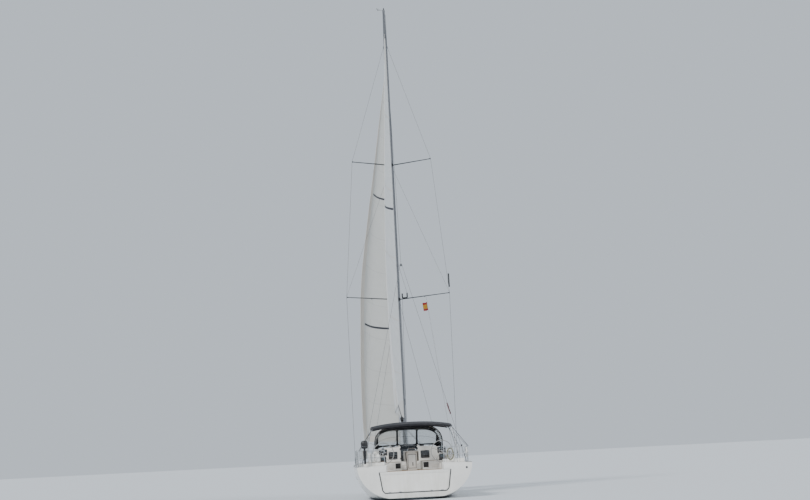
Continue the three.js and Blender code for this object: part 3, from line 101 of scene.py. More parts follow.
# Hull: a glass-fibre shell with a flat transom, white gelcoat above a dark boot stripe and bottom paint
# below it, and bare laminate inside. The stern opening lets the transom door fold down.
HULL_ROWS = [
    # y at the sheer, y at the keel, half beam, z of the sheer, z of the keel, side power, bottom power
    (-7.6, -7.6, 2.285, 1.35, 0.035, 0.61, 1.18),
    (-6.4, -6.4, 2.33, 1.346, -0.095, 0.62, 1.2),
    (-4.8, -4.8, 2.362, 1.346, -0.24, 0.64, 1.22),
    (-3.0, -3.0, 2.375, 1.354, -0.37, 0.66, 1.25),
    (-1.0, -1.0, 2.365, 1.372, -0.45, 0.7, 1.3),
    (1.0, 1.0, 2.265, 1.404, -0.47, 0.76, 1.35),
    (2.8, 2.8, 2.01, 1.45, -0.43, 0.84, 1.38),
    (4.4, 4.4, 1.61, 1.506, -0.34, 0.95, 1.38),
    (5.8, 5.8, 1.11, 1.57, -0.225, 1.08, 1.32),
    (6.9, 6.86, 0.64, 1.63, -0.115, 1.2, 1.25),
    (7.56, 7.42, 0.275, 1.674, -0.045, 1.22, 1.2),
    (7.9, 7.69, 0.034, 1.7, 0.12, 1.15, 1.1),
]
HULL_RINGS = 76
HULL_AROUND = 64
SHELL = 0.07
TRANSOM_Y = -7.6
BOWL_END_Y = 7.2
WALKWAY_HALF = 1.1
SOLE_Z = 1.15
DOOR_GAP = 0.006
DOOR_OUTLINE = [(1.21, 0.33), (1.3, 0.42), (1.405, 1.144)]
RUDDER_STOCK = (0.0, -6.45)
STRIPE_TOP_Z = 0.1
STRIPE_WIDTH = 0.045


def mix(a, b, share):
    return a + (b - a) * share


def between(rows, t, held=False):
    """The row at share t through a table, on a smooth curve. Held ends flatten the curve there."""
    place = min(max(t, 0.0), 1.0) * (len(rows) - 1)
    i = min(int(place), len(rows) - 2)
    f = place - i
    first, low, high, last = (rows[min(max(i + step, 0), len(rows) - 1)] for step in (-1, 0, 1, 2))
    if i == 0 and not held:
        first = [2 * a - b for a, b in zip(low, high)]
    if i == len(rows) - 2 and not held:
        last = [2 * b - a for a, b in zip(low, high)]
    values = []
    for p0, p1, p2, p3 in zip(first, low, high, last):
        bend = 2 * p0 - 5 * p1 + 4 * p2 - p3 + f * (3 * (p1 - p2) + p3 - p0)
        values.append(p1 + 0.5 * f * (p2 - p0 + f * bend))
    return values


def share_at(rows, wanted):
    """How far through a table its curve's first value comes to the wanted one."""
    low, high = 0.0, 1.0
    for _ in range(30):
        middle = (low + high) / 2
        low, high = (middle, high) if between(rows, middle)[0] < wanted else (low, middle)
    return low


def select_only(*pieces):
    bpy.ops.object.select_all(action="DESELECT")
    for piece in pieces:
        piece.select_set(True)
    bpy.context.view_layer.objects.active = pieces[0]


def named(piece, name):
    piece.name = name
    piece.data.name = name
    return piece


def surface(name, place, across, along):
    """A grid of across by along faces, with each corner put at place(u, v), u and v from 0 to 1."""
    bpy.ops.object.select_all(action="DESELECT")
    bpy.ops.mesh.primitive_grid_add(x_subdivisions=across, y_subdivisions=along, size=2)
    piece = named(bpy.context.object, name)
    for vertex in piece.data.vertices:
        vertex.co = place(vertex.co.x / 2 + 0.5, vertex.co.y / 2 + 0.5)
    return piece


def weld(piece, closed=True):
    """Merges doubled points, caps open ends if closed, and turns the faces outwards."""
    select_only(piece)
    bpy.ops.object.mode_set(mode="EDIT")
    bpy.ops.mesh.select_all(action="SELECT")
    bpy.ops.mesh.remove_doubles(threshold=0.00002)
    if closed:
        bpy.ops.mesh.fill_holes(sides=0)
    bpy.ops.mesh.select_all(action="SELECT")
    bpy.ops.mesh.normals_make_consistent(inside=False)
    bpy.ops.object.mode_set(mode="OBJECT")
    return piece


def finish_with(piece, kind, **settings):
    """Adds one modifier to a piece and applies it."""
    select_only(piece)
    modifier = piece.modifiers.new(kind, kind)
    for key, value in settings.items():
        setattr(modifier, key, value)
    bpy.ops.object.modifier_apply(modifier=modifier.name)
    return piece


def carve(piece, *tools, operation="DIFFERENCE"):
    for tool in tools:
        finish_with(piece, "BOOLEAN", operation=operation, solver="EXACT", object=tool)
        bpy.data.objects.remove(tool)
    return piece


def slab(name, outline, push):
    """A flat outline of points pushed along a vector into a solid plate."""
    bpy.ops.object.select_all(action="DESELECT")
    bpy.ops.mesh.primitive_circle_add(vertices=len(outline), fill_type="NGON")
    piece = named(bpy.context.object, name)
    for vertex, point in zip(piece.data.vertices, outline):
        vertex.co = point
    bpy.ops.object.mode_set(mode="EDIT")
    bpy.ops.mesh.select_all(action="SELECT")
    bpy.ops.mesh.extrude_region_move(TRANSFORM_OT_translate={"value": push})
    bpy.ops.object.mode_set(mode="OBJECT")
    return weld(piece)


def block(name, low, high, round_edge=0.0, steps=2):
    """A box from its low corner to its high corner, with its edges rounded."""
    bpy.ops.object.select_all(action="DESELECT")
    bpy.ops.mesh.primitive_cube_add(size=2)
    piece = named(bpy.context.object, name)
    for vertex in piece.data.vertices:
        vertex.co = [mix(a, b, c / 2 + 0.5) for a, b, c in zip(low, high, vertex.co)]
    if round_edge:
        bpy.ops.object.mode_set(mode="EDIT")
        bpy.ops.mesh.select_all(action="SELECT")
        bpy.ops.mesh.bevel(offset=round_edge, segments=steps, affect="EDGES")
        bpy.ops.object.mode_set(mode="OBJECT")
    return piece


def soften(piece, width, steps=2, degrees=35):
    """Rounds the sharp edges of a piece and shades the rest smooth."""
    finish_with(
        piece, "BEVEL", width=width, segments=steps, limit_method="ANGLE",
        angle_limit=math.radians(degrees), use_clamp_overlap=True,
    )
    bpy.ops.object.shade_smooth_by_angle(angle=math.radians(degrees))
    return piece


def smooth(piece, degrees=35):
    select_only(piece)
    bpy.ops.object.shade_smooth_by_angle(angle=math.radians(degrees))
    return piece


def fit(piece, body, slot, finish, *nodes):
    """Gives a finished piece its material, its body, its slot and the frame nodes that it stands for."""
    piece.data.materials.clear()
    piece.data.materials.append(finish)
    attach(piece, body)
    if nodes:
        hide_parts(*nodes)
    return piece


def feed(tree, socket, value):
    """Links an input to another node's output, or sets it to a plain value."""
    if isinstance(value, bpy.types.NodeSocket):
        tree.links.new(value, socket)
    else:
        socket.default_value = value


def node(tree, kind, *links, **settings):
    """A shader node: links go to its inputs in order, and settings name its options or inputs."""
    made = tree.nodes.new("ShaderNode" + kind)
    named_inputs = {socket.name.replace(" ", "_"): socket for socket in reversed(made.inputs)}
    wanted = [(made.inputs[i], value) for i, value in enumerate(links) if value is not None]
    for key, value in settings.items():
        if key in named_inputs:
            wanted.append((named_inputs[key], value))
        else:
            setattr(made, key, value)
    for socket, value in wanted:
        feed(tree, socket, value)
    return made


def group(name, inputs, outputs, build):
    """A node group with named number inputs; build returns the sockets for its named outputs."""
    tree = bpy.data.node_groups.new(name, "ShaderNodeTree")
    for label, kind, default in inputs:
        socket = tree.interface.new_socket(label, in_out="INPUT", socket_type="NodeSocket" + kind)
        if default is not None:
            socket.default_value = default
    for label, kind in outputs:
        tree.interface.new_socket(label, in_out="OUTPUT", socket_type="NodeSocket" + kind)
    given = tree.nodes.new("NodeGroupInput")
    taken = tree.nodes.new("NodeGroupOutput")
    for socket, value in zip(taken.inputs, build(tree, given.outputs)):
        tree.links.new(value, socket)
    return tree


def use(tree, shared, **settings):
    made = tree.nodes.new("ShaderNodeGroup")
    made.node_tree = shared
    for key, value in settings.items():
        feed(tree, made.inputs[key], value)
    return made.outputs


def math_node(tree, operation, *values):
    return node(tree, "Math", *values, operation=operation).outputs[0]


def spread(tree, value, low, high):
    """A value from 0 to 1 made to run from low to high."""
    return node(tree, "MapRange", Value=value, To_Min=low, To_Max=high).outputs[0]


def noise(tree, place, scale, detail, roughness=0.5):
    return node(tree, "TexNoise", Vector=place, Scale=scale, Detail=detail, Roughness=roughness).outputs[0]


def shade(tree, share, dark, pale):
    """A colour between dark and pale by a share from 0 to 1."""
    made = node(tree, "Mix", data_type="RGBA")
    for index, value in ((0, share), (6, dark), (7, pale)):
        feed(tree, made.inputs[index], value)
    return made.outputs[2]


def build_weather(tree, given):
    """Dirt and rain runs as a mask, and a fine grain for roughness and bump."""
    place = given["Place"]
    stretched = node(tree, "Mapping", place, Scale=(1.0, 1.0, 0.16)).outputs[0]
    runs = noise(tree, stretched, 7.0, 5.0, 0.65)
    both = math_node(tree, "MULTIPLY", noise(tree, place, 0.9, 4.0, 0.6), runs)
    dirt = node(tree, "MapRange", Value=both, From_Min=0.18, From_Max=0.42).outputs[0]
    return math_node(tree, "MULTIPLY", dirt, given["Amount"]), noise(tree, place, 160.0, 2.0)


WEATHER = group(
    "weather", (("Place", "Vector", None), ("Amount", "Float", 1.0)),
    (("Dirt", "Float"), ("Grain", "Float")), build_weather,
)


def material(name, metallic=0.0, coat=0.0, transmission=0.0, ior=1.5):
    """A material with its shader's constants set. Its tree, shader and object coordinates follow."""
    made = bpy.data.materials.new(name)
    made.use_nodes = True
    shader = made.node_tree.nodes["Principled BSDF"]
    for socket, value in (
        ("Metallic", metallic), ("Coat Weight", coat), ("Transmission Weight", transmission),
        ("IOR", ior),
    ):
        shader.inputs[socket].default_value = value
    place = node(made.node_tree, "TexCoord").outputs["Object"]
    return made, made.node_tree, shader, place


def wire(tree, shader, colour, roughness, height=None, depth=0.001, strength=0.5):
    """Gives the shader its colour and roughness, and a bump of depth metres where there is a height."""
    feed(tree, shader.inputs["Base Color"], colour)
    feed(tree, shader.inputs["Roughness"], roughness)
    if height is not None:
        bump = node(tree, "Bump", Height=height, Distance=depth, Strength=strength)
        tree.links.new(bump.outputs[0], shader.inputs["Normal"])


def plain_finish(name, colour, worn, roughness, grain=0.0004, dirt=0.5, **constants):
    """A finish whose colour shifts to its worn tone in dirt and runs, with grain in its gloss."""
    made, tree, shader, place = material(name, **constants)
    mask, fine = use(tree, WEATHER, Place=place, Amount=dirt)
    tone = shade(tree, mask, (*colour, 1.0), (*worn, 1.0))
    wire(tree, shader, tone, spread(tree, fine, roughness * 0.8, roughness * 1.3), fine, grain)
    return made


def hull_finish():
    made, tree, shader, place = material("hull_gelcoat", coat=0.4)
    mask, fine = use(tree, WEATHER, Place=place, Amount=0.45)
    height = node(tree, "SeparateXYZ", place).outputs["Z"]
    white = shade(tree, mask, (0.80, 0.785, 0.745, 1.0), (0.66, 0.64, 0.585, 1.0))
    scum_fade = node(tree, "MapRange", Value=height, From_Min=0.42, From_Max=STRIPE_TOP_Z).outputs[0]
    scum = math_node(tree, "MULTIPLY", scum_fade, math_node(tree, "MULTIPLY", mask, 0.9))
    white = shade(tree, scum, white, (0.50, 0.47, 0.36, 1.0))
    paint = shade(tree, mask, (0.022, 0.030, 0.042, 1.0), (0.05, 0.065, 0.07, 1.0))
    over = math_node(tree, "GREATER_THAN", height, STRIPE_TOP_Z)
    under = math_node(tree, "LESS_THAN", height, STRIPE_TOP_Z - STRIPE_WIDTH)
    colour = shade(tree, under, shade(tree, over, (0.012, 0.013, 0.018, 1.0), white), paint)
    wire(tree, shader, colour, spread(tree, under, 0.24, 0.8), fine, 0.0003)
    return made


HULL_PAINT = hull_finish()


def hull_ring(row, around, inset=0.0):
    """A point of a hull section: around goes from -1 at the port sheer to 1 at the starboard sheer."""
    y_sheer, y_keel, half_beam, z_sheer, z_keel, side_power, bottom_power = row
    turn = abs(around) * math.pi / 2
    rise = 1 - max(math.cos(turn), 0.0) ** bottom_power
    x = math.copysign(max(half_beam - inset, 0.004) * math.sin(turn) ** side_power, around)
    z = z_sheer - (z_sheer - z_keel - inset) * (1 - rise)
    return Vector((x, mix(y_keel, y_sheer, rise), z))


def hull_body(name, inset=0.0, lift=0.0, to_y=9.0):
    """A closed solid in the hull's shape; lift carries its straight sides up past the sheer."""
    rows = [between(HULL_ROWS, i / HULL_RINGS) for i in range(HULL_RINGS + 1)]
    rows = [row for row in rows if row[0] < to_y]
    if inset:
        rows[0] = [TRANSOM_Y + inset, TRANSOM_Y + inset] + rows[0][2:]

    def place(u, v):
        row = rows[round(v * (len(rows) - 1))]
        step = round(u * (HULL_AROUND + 2))
        if step in (0, HULL_AROUND + 2):
            return hull_ring(row, -1.0, inset) + Vector((0, 0, lift))
        if step == HULL_AROUND + 1:
            return hull_ring(row, 1.0, inset) + Vector((0, 0, lift))
        share = (step - 1) / (HULL_AROUND - 1) * 2 - 1
        return hull_ring(row, math.copysign(abs(share) ** 1.25, share), inset)

    return weld(surface(name, place, HULL_AROUND + 2, len(rows) - 1))


hull = hull_body("hull_shell")
outline = [(x, TRANSOM_Y - 0.05, z) for x, z in DOOR_OUTLINE]
outline += [(-x, y, z) for x, y, z in reversed(outline)]
opening = slab("opening", outline, (0, SHELL + 0.11, 0))
walkway = block(
    "walkway", (-WALKWAY_HALF - 0.04, TRANSOM_Y - 0.05, SOLE_Z - 0.01),
    (WALKWAY_HALF + 0.04, TRANSOM_Y + SHELL + 0.06, 1.5),
)
stock_hole = block(
    "stock_hole", (-0.046, RUDDER_STOCK[1] - 0.046, -0.4), (0.046, RUDDER_STOCK[1] + 0.046, 0.2),
)
carve(hull, hull_body("hull_inside", SHELL, 0.9, BOWL_END_Y), opening, walkway, stock_hole)
soften(hull, 0.006, degrees=40)
fit(hull, "yacht", "gelcoat", HULL_PAINT, "hull")
BARE_LAMINATE = plain_finish(
    "bare_laminate", (0.50, 0.50, 0.47), (0.36, 0.355, 0.32), 0.6, grain=0.004, dirt=1.0,
)
hull.data.materials.append(BARE_LAMINATE)
for face in hull.data.polygons:
    middle, normal = face.center, face.normal
    faces_in = normal.x * middle.x < -0.01 or normal.z > 0.2 and middle.z < 1.15
    if faces_in or normal.y > 0.5 and middle.y < TRANSOM_Y + 0.3:
        face.material_index = 1

# Transom door: a moulded bathing platform in the stern opening, with a raised rim, a crease across it
# and hinge leaves along its foot. Its inner face carries the bathing deck's planks. A black strip on
# the transom round its edges is painted shade, standing in for the shadow in the gap round the door.
DOOR_THICK = 0.06
door_rows = [(x - DOOR_GAP, z + DOOR_GAP * 0.5) for x, z in DOOR_OUTLINE[:2]] + [(1.396, 1.138)]


def pick_faces(piece, test):
    """Selects the faces of a piece that pass a test of their middle and normal, for edit mode."""
    select_only(piece)
    bpy.ops.object.mode_set(mode="EDIT")
    bpy.ops.mesh.select_mode(type="FACE")
    bpy.ops.mesh.select_all(action="DESELECT")
    bpy.ops.object.mode_set(mode="OBJECT")
    for face in piece.data.polygons:
        face.select = test(face.center, face.normal)
    bpy.ops.object.mode_set(mode="EDIT")


def join(name, *pieces):
    select_only(*pieces)
    bpy.ops.object.join()
    return named(bpy.context.object, name)


def both_sides(name, piece):
    """Joins a piece and its mirror image across the centreline."""
    select_only(piece)
    bpy.ops.object.duplicate()
    twin = bpy.context.object
    for vertex in twin.data.vertices:
        vertex.co.x = -vertex.co.x
    bpy.ops.object.mode_set(mode="EDIT")
    bpy.ops.mesh.select_all(action="SELECT")
    bpy.ops.mesh.flip_normals()
    bpy.ops.object.mode_set(mode="OBJECT")
    return join(name, piece, twin)


def teak_finish(name, across):
    """Teak planks, grey where feet have worn them, with black caulking between them."""
    plank = 0.052
    caulk = 0.09
    made, tree, shader, place = material(name)
    mask, _ = use(tree, WEATHER, Place=place, Amount=0.8)
    row = math_node(tree, "DIVIDE", node(tree, "SeparateXYZ", place).outputs[across], plank)
    seam = math_node(tree, "LESS_THAN", math_node(tree, "FRACT", row), caulk)
    own = node(tree, "TexWhiteNoise", noise_dimensions="1D", W=math_node(tree, "FLOOR", row)).outputs[0]
    run = (1.0, 14.0, 14.0) if across == "Z" else (14.0, 1.0, 14.0)
    drawn = node(tree, "Mapping", place, Scale=run).outputs[0]
    grain = noise(tree, drawn, 5.0, 6.0, 0.7)
    wood = shade(tree, grain, (0.20, 0.115, 0.055, 1.0), (0.47, 0.315, 0.18, 1.0))
    wood = shade(tree, math_node(tree, "MULTIPLY", own, 0.45), wood, (0.34, 0.25, 0.17, 1.0))
    wood = shade(tree, math_node(tree, "MULTIPLY", mask, 0.5), wood, (0.33, 0.30, 0.26, 1.0))
    colour = shade(tree, seam, wood, (0.012, 0.011, 0.010, 1.0))
    height = math_node(tree, "SUBTRACT", math_node(tree, "MULTIPLY", grain, 0.3), seam)
    wire(tree, shader, colour, spread(tree, seam, 0.72, 0.5), height, 0.0015)
    return made


GELCOAT = plain_finish(
    "gelcoat", (0.80, 0.785, 0.745), (0.60, 0.575, 0.51), 0.34, dirt=0.55, coat=0.3,
)
TEAK_LENGTHWAYS = teak_finish("teak_lengthways", "X")
TEAK_DOOR = teak_finish("teak_door", "Z")
STEEL = plain_finish(
    "polished_steel", (0.62, 0.63, 0.64), (0.42, 0.41, 0.39), 0.17, grain=0.0001, metallic=1.0,
)
DOOR_CREASE_Z = 1.02
door_face = door_rows + [(-x, z) for x, z in reversed(door_rows)]
door = slab("bathing_door", [(x, TRANSOM_Y, z) for x, z in door_face], (0, DOOR_THICK, 0))
pick_faces(door, lambda middle, normal: normal.y < -0.9)
bpy.ops.mesh.inset(thickness=0.045, depth=0.0)
bpy.ops.mesh.inset(thickness=0.012, depth=-0.005)
bpy.ops.object.mode_set(mode="OBJECT")
crease_low = (-1.3, TRANSOM_Y - 0.01, DOOR_CREASE_Z - 0.009)
crease_high = (1.3, TRANSOM_Y + 0.016, DOOR_CREASE_Z + 0.009)
carve(door, block("crease", crease_low, crease_high))
soften(door, 0.006)
fit(door, "transom_door", "gelcoat", GELCOAT, "swim_platform")
planks = block(
    "bathing_planks", (-1.18, TRANSOM_Y + DOOR_THICK - 0.001, 0.46),
    (1.18, TRANSOM_Y + DOOR_THICK + 0.006, 1.09), 0.002, 1,
)
fit(smooth(planks), "transom_door", "teak", TEAK_DOOR)


def cord_curve(name, points, radius, sides=2, closed=False, tapers=None):
    """A round cord along a route. sides is the curve's bevel resolution."""
    route = bpy.data.curves.new(name, "CURVE")
    route.dimensions = "3D"
    route.bevel_depth = radius
    route.bevel_resolution = sides
    route.use_fill_caps = True
    spline = route.splines.new("POLY")
    spline.points.add(len(points) - 1)
    for index, (knot, point) in enumerate(zip(spline.points, points)):
        knot.co = (*point, 1.0)
        knot.radius = tapers[index] if tapers else 1.0
    spline.use_cyclic_u = closed
    piece = bpy.data.objects.new(name, route)
    bpy.context.scene.collection.objects.link(piece)
    return piece


def tube(name, points, radius, sides=2, closed=False, tapers=None):
    """A round bar along a route."""
    select_only(cord_curve(name, points, radius, sides, closed, tapers))
    bpy.ops.object.convert(target="MESH")
    return smooth(bpy.context.object, 40)


def assemble(name, parts, body, slot, finish, *nodes, degrees=35):
    """Joins parts into one smooth-shaded piece and fits it."""
    return fit(smooth(join(name, *parts), degrees), body, slot, finish, *nodes)


def bent(points, radius, steps=5):
    """A route with each corner rounded over about radius."""
    points = [Vector(point) for point in points]
    route = [points[0]]
    for before, corner, after in zip(points, points[1:], points[2:]):
        back, ahead = before - corner, after - corner
        start = corner + back.normalized() * min(radius, back.length * 0.45)
        end = corner + ahead.normalized() * min(radius, ahead.length * 0.45)
        for i in range(steps + 1):
            t = i / steps
            route.append(start * (1 - t) ** 2 + corner * 2 * t * (1 - t) + end * t**2)
    return route + [points[-1]]


# Painted shade: a black strip on the transom just outside the door's outline, for the shadow in the gap round
# the door.
gap_shade_outline = [(x + 0.02, z) for x, z in DOOR_OUTLINE]
gap_shade_outline = gap_shade_outline[::-1] + [(-x, z) for x, z in gap_shade_outline]
gap_shade_route = [Vector((x, TRANSOM_Y - 0.001, z if z > 0.35 else z - 0.02)) for x, z in gap_shade_outline]
DOOR_GAP_SHADE = plain_finish("door_rubber", (0.03, 0.031, 0.034), (0.09, 0.09, 0.09), 0.7, grain=0.0006)
door_seal = tube("door_seal", bent(gap_shade_route, 0.04), 0.02, 3)
for vertex in door_seal.data.vertices:
    vertex.co.y = mix(TRANSOM_Y, vertex.co.y, 0.25)
fit(door_seal, "yacht", "black_plastic", DOOR_GAP_SHADE)
hinges = []
for hinge_x in (-0.62, -1.04, 0.62, 1.04):
    low, high = (hinge_x - 0.05, TRANSOM_Y - 0.005, 0.336), (hinge_x + 0.05, TRANSOM_Y, 0.362)
    hinges.append(block("hinge_leaf", low, high, 0.002, 1))
assemble("door_hinges", hinges, "transom_door", "steel", STEEL)

# Coachroof: a moulded cabin top with a cambered roof, rounded shoulders, an open companionway in its
# aft face, runners for the sliding hatch, a pad for the mast and a coaming for the saloon hatch.
COACHROOF_ROWS = [
    # y, half width at the deck, half width at the roof, z of the roof's edge
    (-2.6, 1.62, 1.44, 2.06), (-1.0, 1.61, 1.42, 2.07), (0.6, 1.5, 1.29, 2.05), (2.0, 1.29, 1.06, 1.99),
    (3.3, 1.02, 0.79, 1.89), (4.3, 0.76, 0.56, 1.78), (4.8, 0.6, 0.4, 1.64),
]
CROWN = 0.07
ROOF_WALL = 0.05
COMPANION_HALF = 0.33
SILL_Z = 1.515
HATCH_PLACES = {
    # aft edge y, length, half width, z of the seat
    "saloon_hatch": (2.15, 0.52, 0.26, 2.05), "fore_hatch": (5.15, 0.52, 0.26, 1.6),
    "anchor_locker": (6.23, 0.56, 0.23, 1.6),
}


def roof_ring(row, grow, low):
    """Half of a coachroof section, from its foot on one side up to the middle of the roof."""
    _, foot, top, edge = row
    return [
        (foot + grow, low), (foot + grow, 1.48), (mix(foot, top, 0.75) + grow, edge - 0.13),
        (top + grow * 0.7, edge - 0.025 + grow * 0.7), (top - 0.12, edge + 0.008 + grow),
        (top * 0.5, edge + CROWN * 0.75 + grow), (0.0, edge + CROWN + grow),
    ]


def roof_body(name, grow, low, along=44, half_around=24):
    start, end = COACHROOF_ROWS[0][0] - grow, COACHROOF_ROWS[-1][0] + grow

    def place(u, v):
        row = between(COACHROOF_ROWS, v)
        y = mix(start, end, v) if v in (0.0, 1.0) else row[0]
        share = u * 2 * (half_around + 0.5) / half_around
        if share > 2:
            share = 0
        side = 1 if share <= 1 else -1
        x, z = between(roof_ring(row, grow, low), share if share <= 1 else 2 - share)
        return Vector((side * x, y, z))

    return weld(surface(name, place, 2 * half_around + 1, along))


def roof_row(y):
    return between(COACHROOF_ROWS, share_at(COACHROOF_ROWS, y))


def roof_z(x, y):
    """Height of the coachroof's top at a place on it."""
    section = roof_ring(roof_row(y), 0.0, 1.25)
    return min((between(section, 0.5 + i / 120) for i in range(61)), key=lambda p: abs(p[0] - abs(x)))[1]


def roof_side_x(y, z):
    """How far out the coachroof's side stands at a height."""
    section = roof_ring(roof_row(y), 0.0, 1.25)
    return min((between(section, i / 150) for i in range(90)), key=lambda p: abs(p[1] - z))[0]


def hatch_hole(place, low, high, rim=0.03):
    y, length, half, _ = place
    return block("hole", (rim - half, y + rim, low), (half - rim, y + length - rim, high))


HATCH_Z = 2.1558
coachroof = roof_body("cabin_top", 0.0, 1.25)
carve(
    coachroof, roof_body("roof_hollow", -ROOF_WALL, 0.9),
    block("way", (-COMPANION_HALF, -2.7, SILL_Z), (COMPANION_HALF, -2.5, 2.4)),
    block("way", (-COMPANION_HALF, -2.7, 1.9), (COMPANION_HALF, -1.86, 2.4)),
    hatch_hole(HATCH_PLACES["saloon_hatch"], 1.8, 2.4),
)
soften(coachroof, 0.012, degrees=50)
roof_parts = [coachroof]
for side in (-1, 1):
    for inner, outer, top in ((0.386, 0.416, HATCH_Z + 0.036), (0.344, 0.39, HATCH_Z - 0.0003)):
        x0, x1 = sorted((side * inner, side * outer))
        roof_parts.append(block("runner", (x0, -2.58, 2.05), (x1, -1.13, top), 0.006))
roof_parts.append(block("mast_pad", (-0.14, 0.72, 2.05), (0.14, 1.08, 2.1497), 0.012))
frame_ring = block("hatch_frame", (-0.28, 2.13, 1.96), (0.28, 2.69, 2.052), 0.015)
carve(frame_ring, hatch_hole(HATCH_PLACES["saloon_hatch"], 1.9, 2.4))
roof_parts.append(frame_ring)
assemble("cabin_top", roof_parts, "yacht", "gelcoat", GELCOAT, "coachroof", degrees=40)

# Deck: a cambered glass-fibre deck with a toe rail round its edge, steel cleats and panels of pale
# non-slip, open over the cockpit, the cabin, the fore hatch and the anchor locker.
DECK_THICK = 0.03
CAMBER = 0.05
COAMING_OUTER = 1.745
WELL_HALF = 1.4
WELL_WALL = 0.04
WIDE_AFT_Y = -5.7
SEAT_FRONT_Y = -6.7


def sheer_row(y):
    return between(HULL_ROWS, share_at(HULL_ROWS, y))


def deck_z(x, y):
    row = sheer_row(y)
    return row[3] + DECK_THICK + CAMBER * (1 - (x / row[2]) ** 2)


def deck_body(name, along=70, across=16):
    def place(u, v):
        row = between(HULL_ROWS, v)
        step = round(u * (across + 2))
        if step in (0, across + 2):
            return Vector((-row[2], row[0], row[3] + 0.0003))
        if step == 1:
            return Vector((row[2], row[0], row[3] + 0.0003))
        share = 1 - 2 * (step - 2) / (across - 1)
        return Vector((share * row[2], row[0], row[3] + DECK_THICK + CAMBER * (1 - share**2)))

    return weld(surface(name, place, across + 2, along))


def well_box(half, y0, y1):
    return block("well", (-half, y0, 1.0), (half, y1, 2.0))


deck = deck_body("deck_moulding")
carve(
    deck, roof_body("roof_room", 0.0003, 1.0),
    well_box(COAMING_OUTER, WIDE_AFT_Y, -2.58),
    well_box(WELL_HALF + WELL_WALL, SEAT_FRONT_Y, WIDE_AFT_Y + 0.01),
    well_box(WALKWAY_HALF + WELL_WALL, TRANSOM_Y - 0.05, SEAT_FRONT_Y + 0.01),
    hatch_hole(HATCH_PLACES["fore_hatch"], 1.0, 2.5),
    hatch_hole(HATCH_PLACES["anchor_locker"], 1.0, 2.5),
)
soften(deck, 0.005, degrees=40)
fit(deck, "yacht", "gelcoat", GELCOAT, "deck")


def thicken(piece, thickness, offset=0.0):
    """Gives a sheet its thickness: on both sides of it, or on the outer one where offset is 1."""
    return finish_with(piece, "SOLIDIFY", thickness=thickness, offset=offset)


def corner_inset(distance, radius):
    """How far a rounded corner pulls an edge in, at a distance from its end."""
    return radius - math.sqrt(max(radius**2 - (radius - min(distance, radius)) ** 2, 0.0))


def patch(name, y0, y1, edges, height, across=6):
    """A thin panel with round corners between two edges, laid on a surface."""
    def place(u, v):
        y = mix(y0, y1, 0.5 - 0.5 * math.cos(math.pi * v))
        low, high = edges(y)
        pull = corner_inset(min(y - y0, y1 - y), 0.05)
        x = mix(low + pull, high - pull, u)
        return Vector((x, y, height(x, y)))

    return weld(thicken(surface(name, place, across, 16), 0.004, 1.0), closed=False)


def nonslip_finish():
    made, tree, shader, place = material("nonslip")
    mask, _ = use(tree, WEATHER, Place=place, Amount=0.9)
    dots = node(tree, "TexVoronoi", Vector=place, Scale=150.0).outputs["Distance"]
    colour = shade(tree, mask, (0.60, 0.60, 0.58, 1.0), (0.47, 0.46, 0.42, 1.0))
    wire(tree, shader, colour, 0.75, dots, 0.0012, 1.0)
    return made


NONSLIP = nonslip_finish()
panels = []
for y0, y1 in ((-5.6, -4.2), (-4.14, -2.66), (-2.5, -1.25), (-1.19, 0.2), (0.62, 1.9), (1.96, 3.2)):
    def side_edges(y):
        inner = COAMING_OUTER if y < -2.6 else roof_row(y)[1]
        return inner + 0.07, sheer_row(y)[2] - 0.17

    panels.append(patch("side_panel", y0, y1, side_edges, deck_z))
for y0, y1, inner in ((3.3, 4.6, 1.05), (4.98, 5.9, 0.33), (5.96, 7.0, 0.3)):
    def fore_edges(y):
        return roof_row(min(y, 4.79))[1] + 0.07 if y < 4.9 else inner, sheer_row(y)[2] - 0.16

    panels.append(patch("fore_panel", y0, y1, fore_edges, deck_z))
for y0, y1, inner in ((-0.95, 0.55, 0.5), (0.65, 1.95, 0.5), (2.05, 2.95, 0.4)):
    def roof_edges(y):
        return inner, roof_row(y)[2] - 0.15

    panels.append(patch("roof_panel", y0, y1, roof_edges, roof_z, across=8))
fit(smooth(both_sides("nonslip_panels", join("nonslip", *panels))), "yacht", "gelcoat", NONSLIP)
ANODISED = plain_finish(
    "anodised_grey", (0.30, 0.31, 0.33), (0.21, 0.215, 0.225), 0.38, grain=0.0002, dirt=0.6, metallic=0.85,
)
rails = []
for side in (-1, 1):
    route = []
    for i in range(90):
        row = between(HULL_ROWS, i / 89 * 0.985)
        route.append((side * (row[2] - 0.022), row[0] + 0.02, row[3] + DECK_THICK + 0.01))
    rails.append(tube("toe_rail", route, 0.017, 1))
fit(join("toe_rails", *rails), "yacht", "aluminium", ANODISED)


def cleat(centre, heading):
    """A deck cleat: two feet and a horned bar."""
    x, y, z = centre
    along = Vector((math.sin(heading), math.cos(heading), 0.0))
    middle = Vector((x, y, z + 0.055))
    bar = [middle + along * step for step in (-0.13, -0.1, -0.04, 0.04, 0.1, 0.13)]
    bar[0].z += 0.008
    bar[-1].z += 0.008
    parts = [tube("horn", bar, 0.014, 2, tapers=(0.4, 0.75, 1, 1, 0.75, 0.4))]
    for step in (-0.045, 0.045):
        head = middle + along * step
        parts.append(tube("foot", (head - Vector((0, 0, 0.06)), head), 0.013, 2))
    return parts


cleats = []
for side in (-1, 1):
    for y in (-6.6, -0.1, 6.5):
        x = side * (sheer_row(y)[2] - 0.13)
        cleats += cleat((x, y, deck_z(x, y)), side * 0.08)
fit(join("cleats", *cleats), "yacht", "steel", STEEL)

# Side windows: panes of dark acrylic bonded flush into the coachroof and the topsides, three of each on
# a side. They are tinted right through and polished.


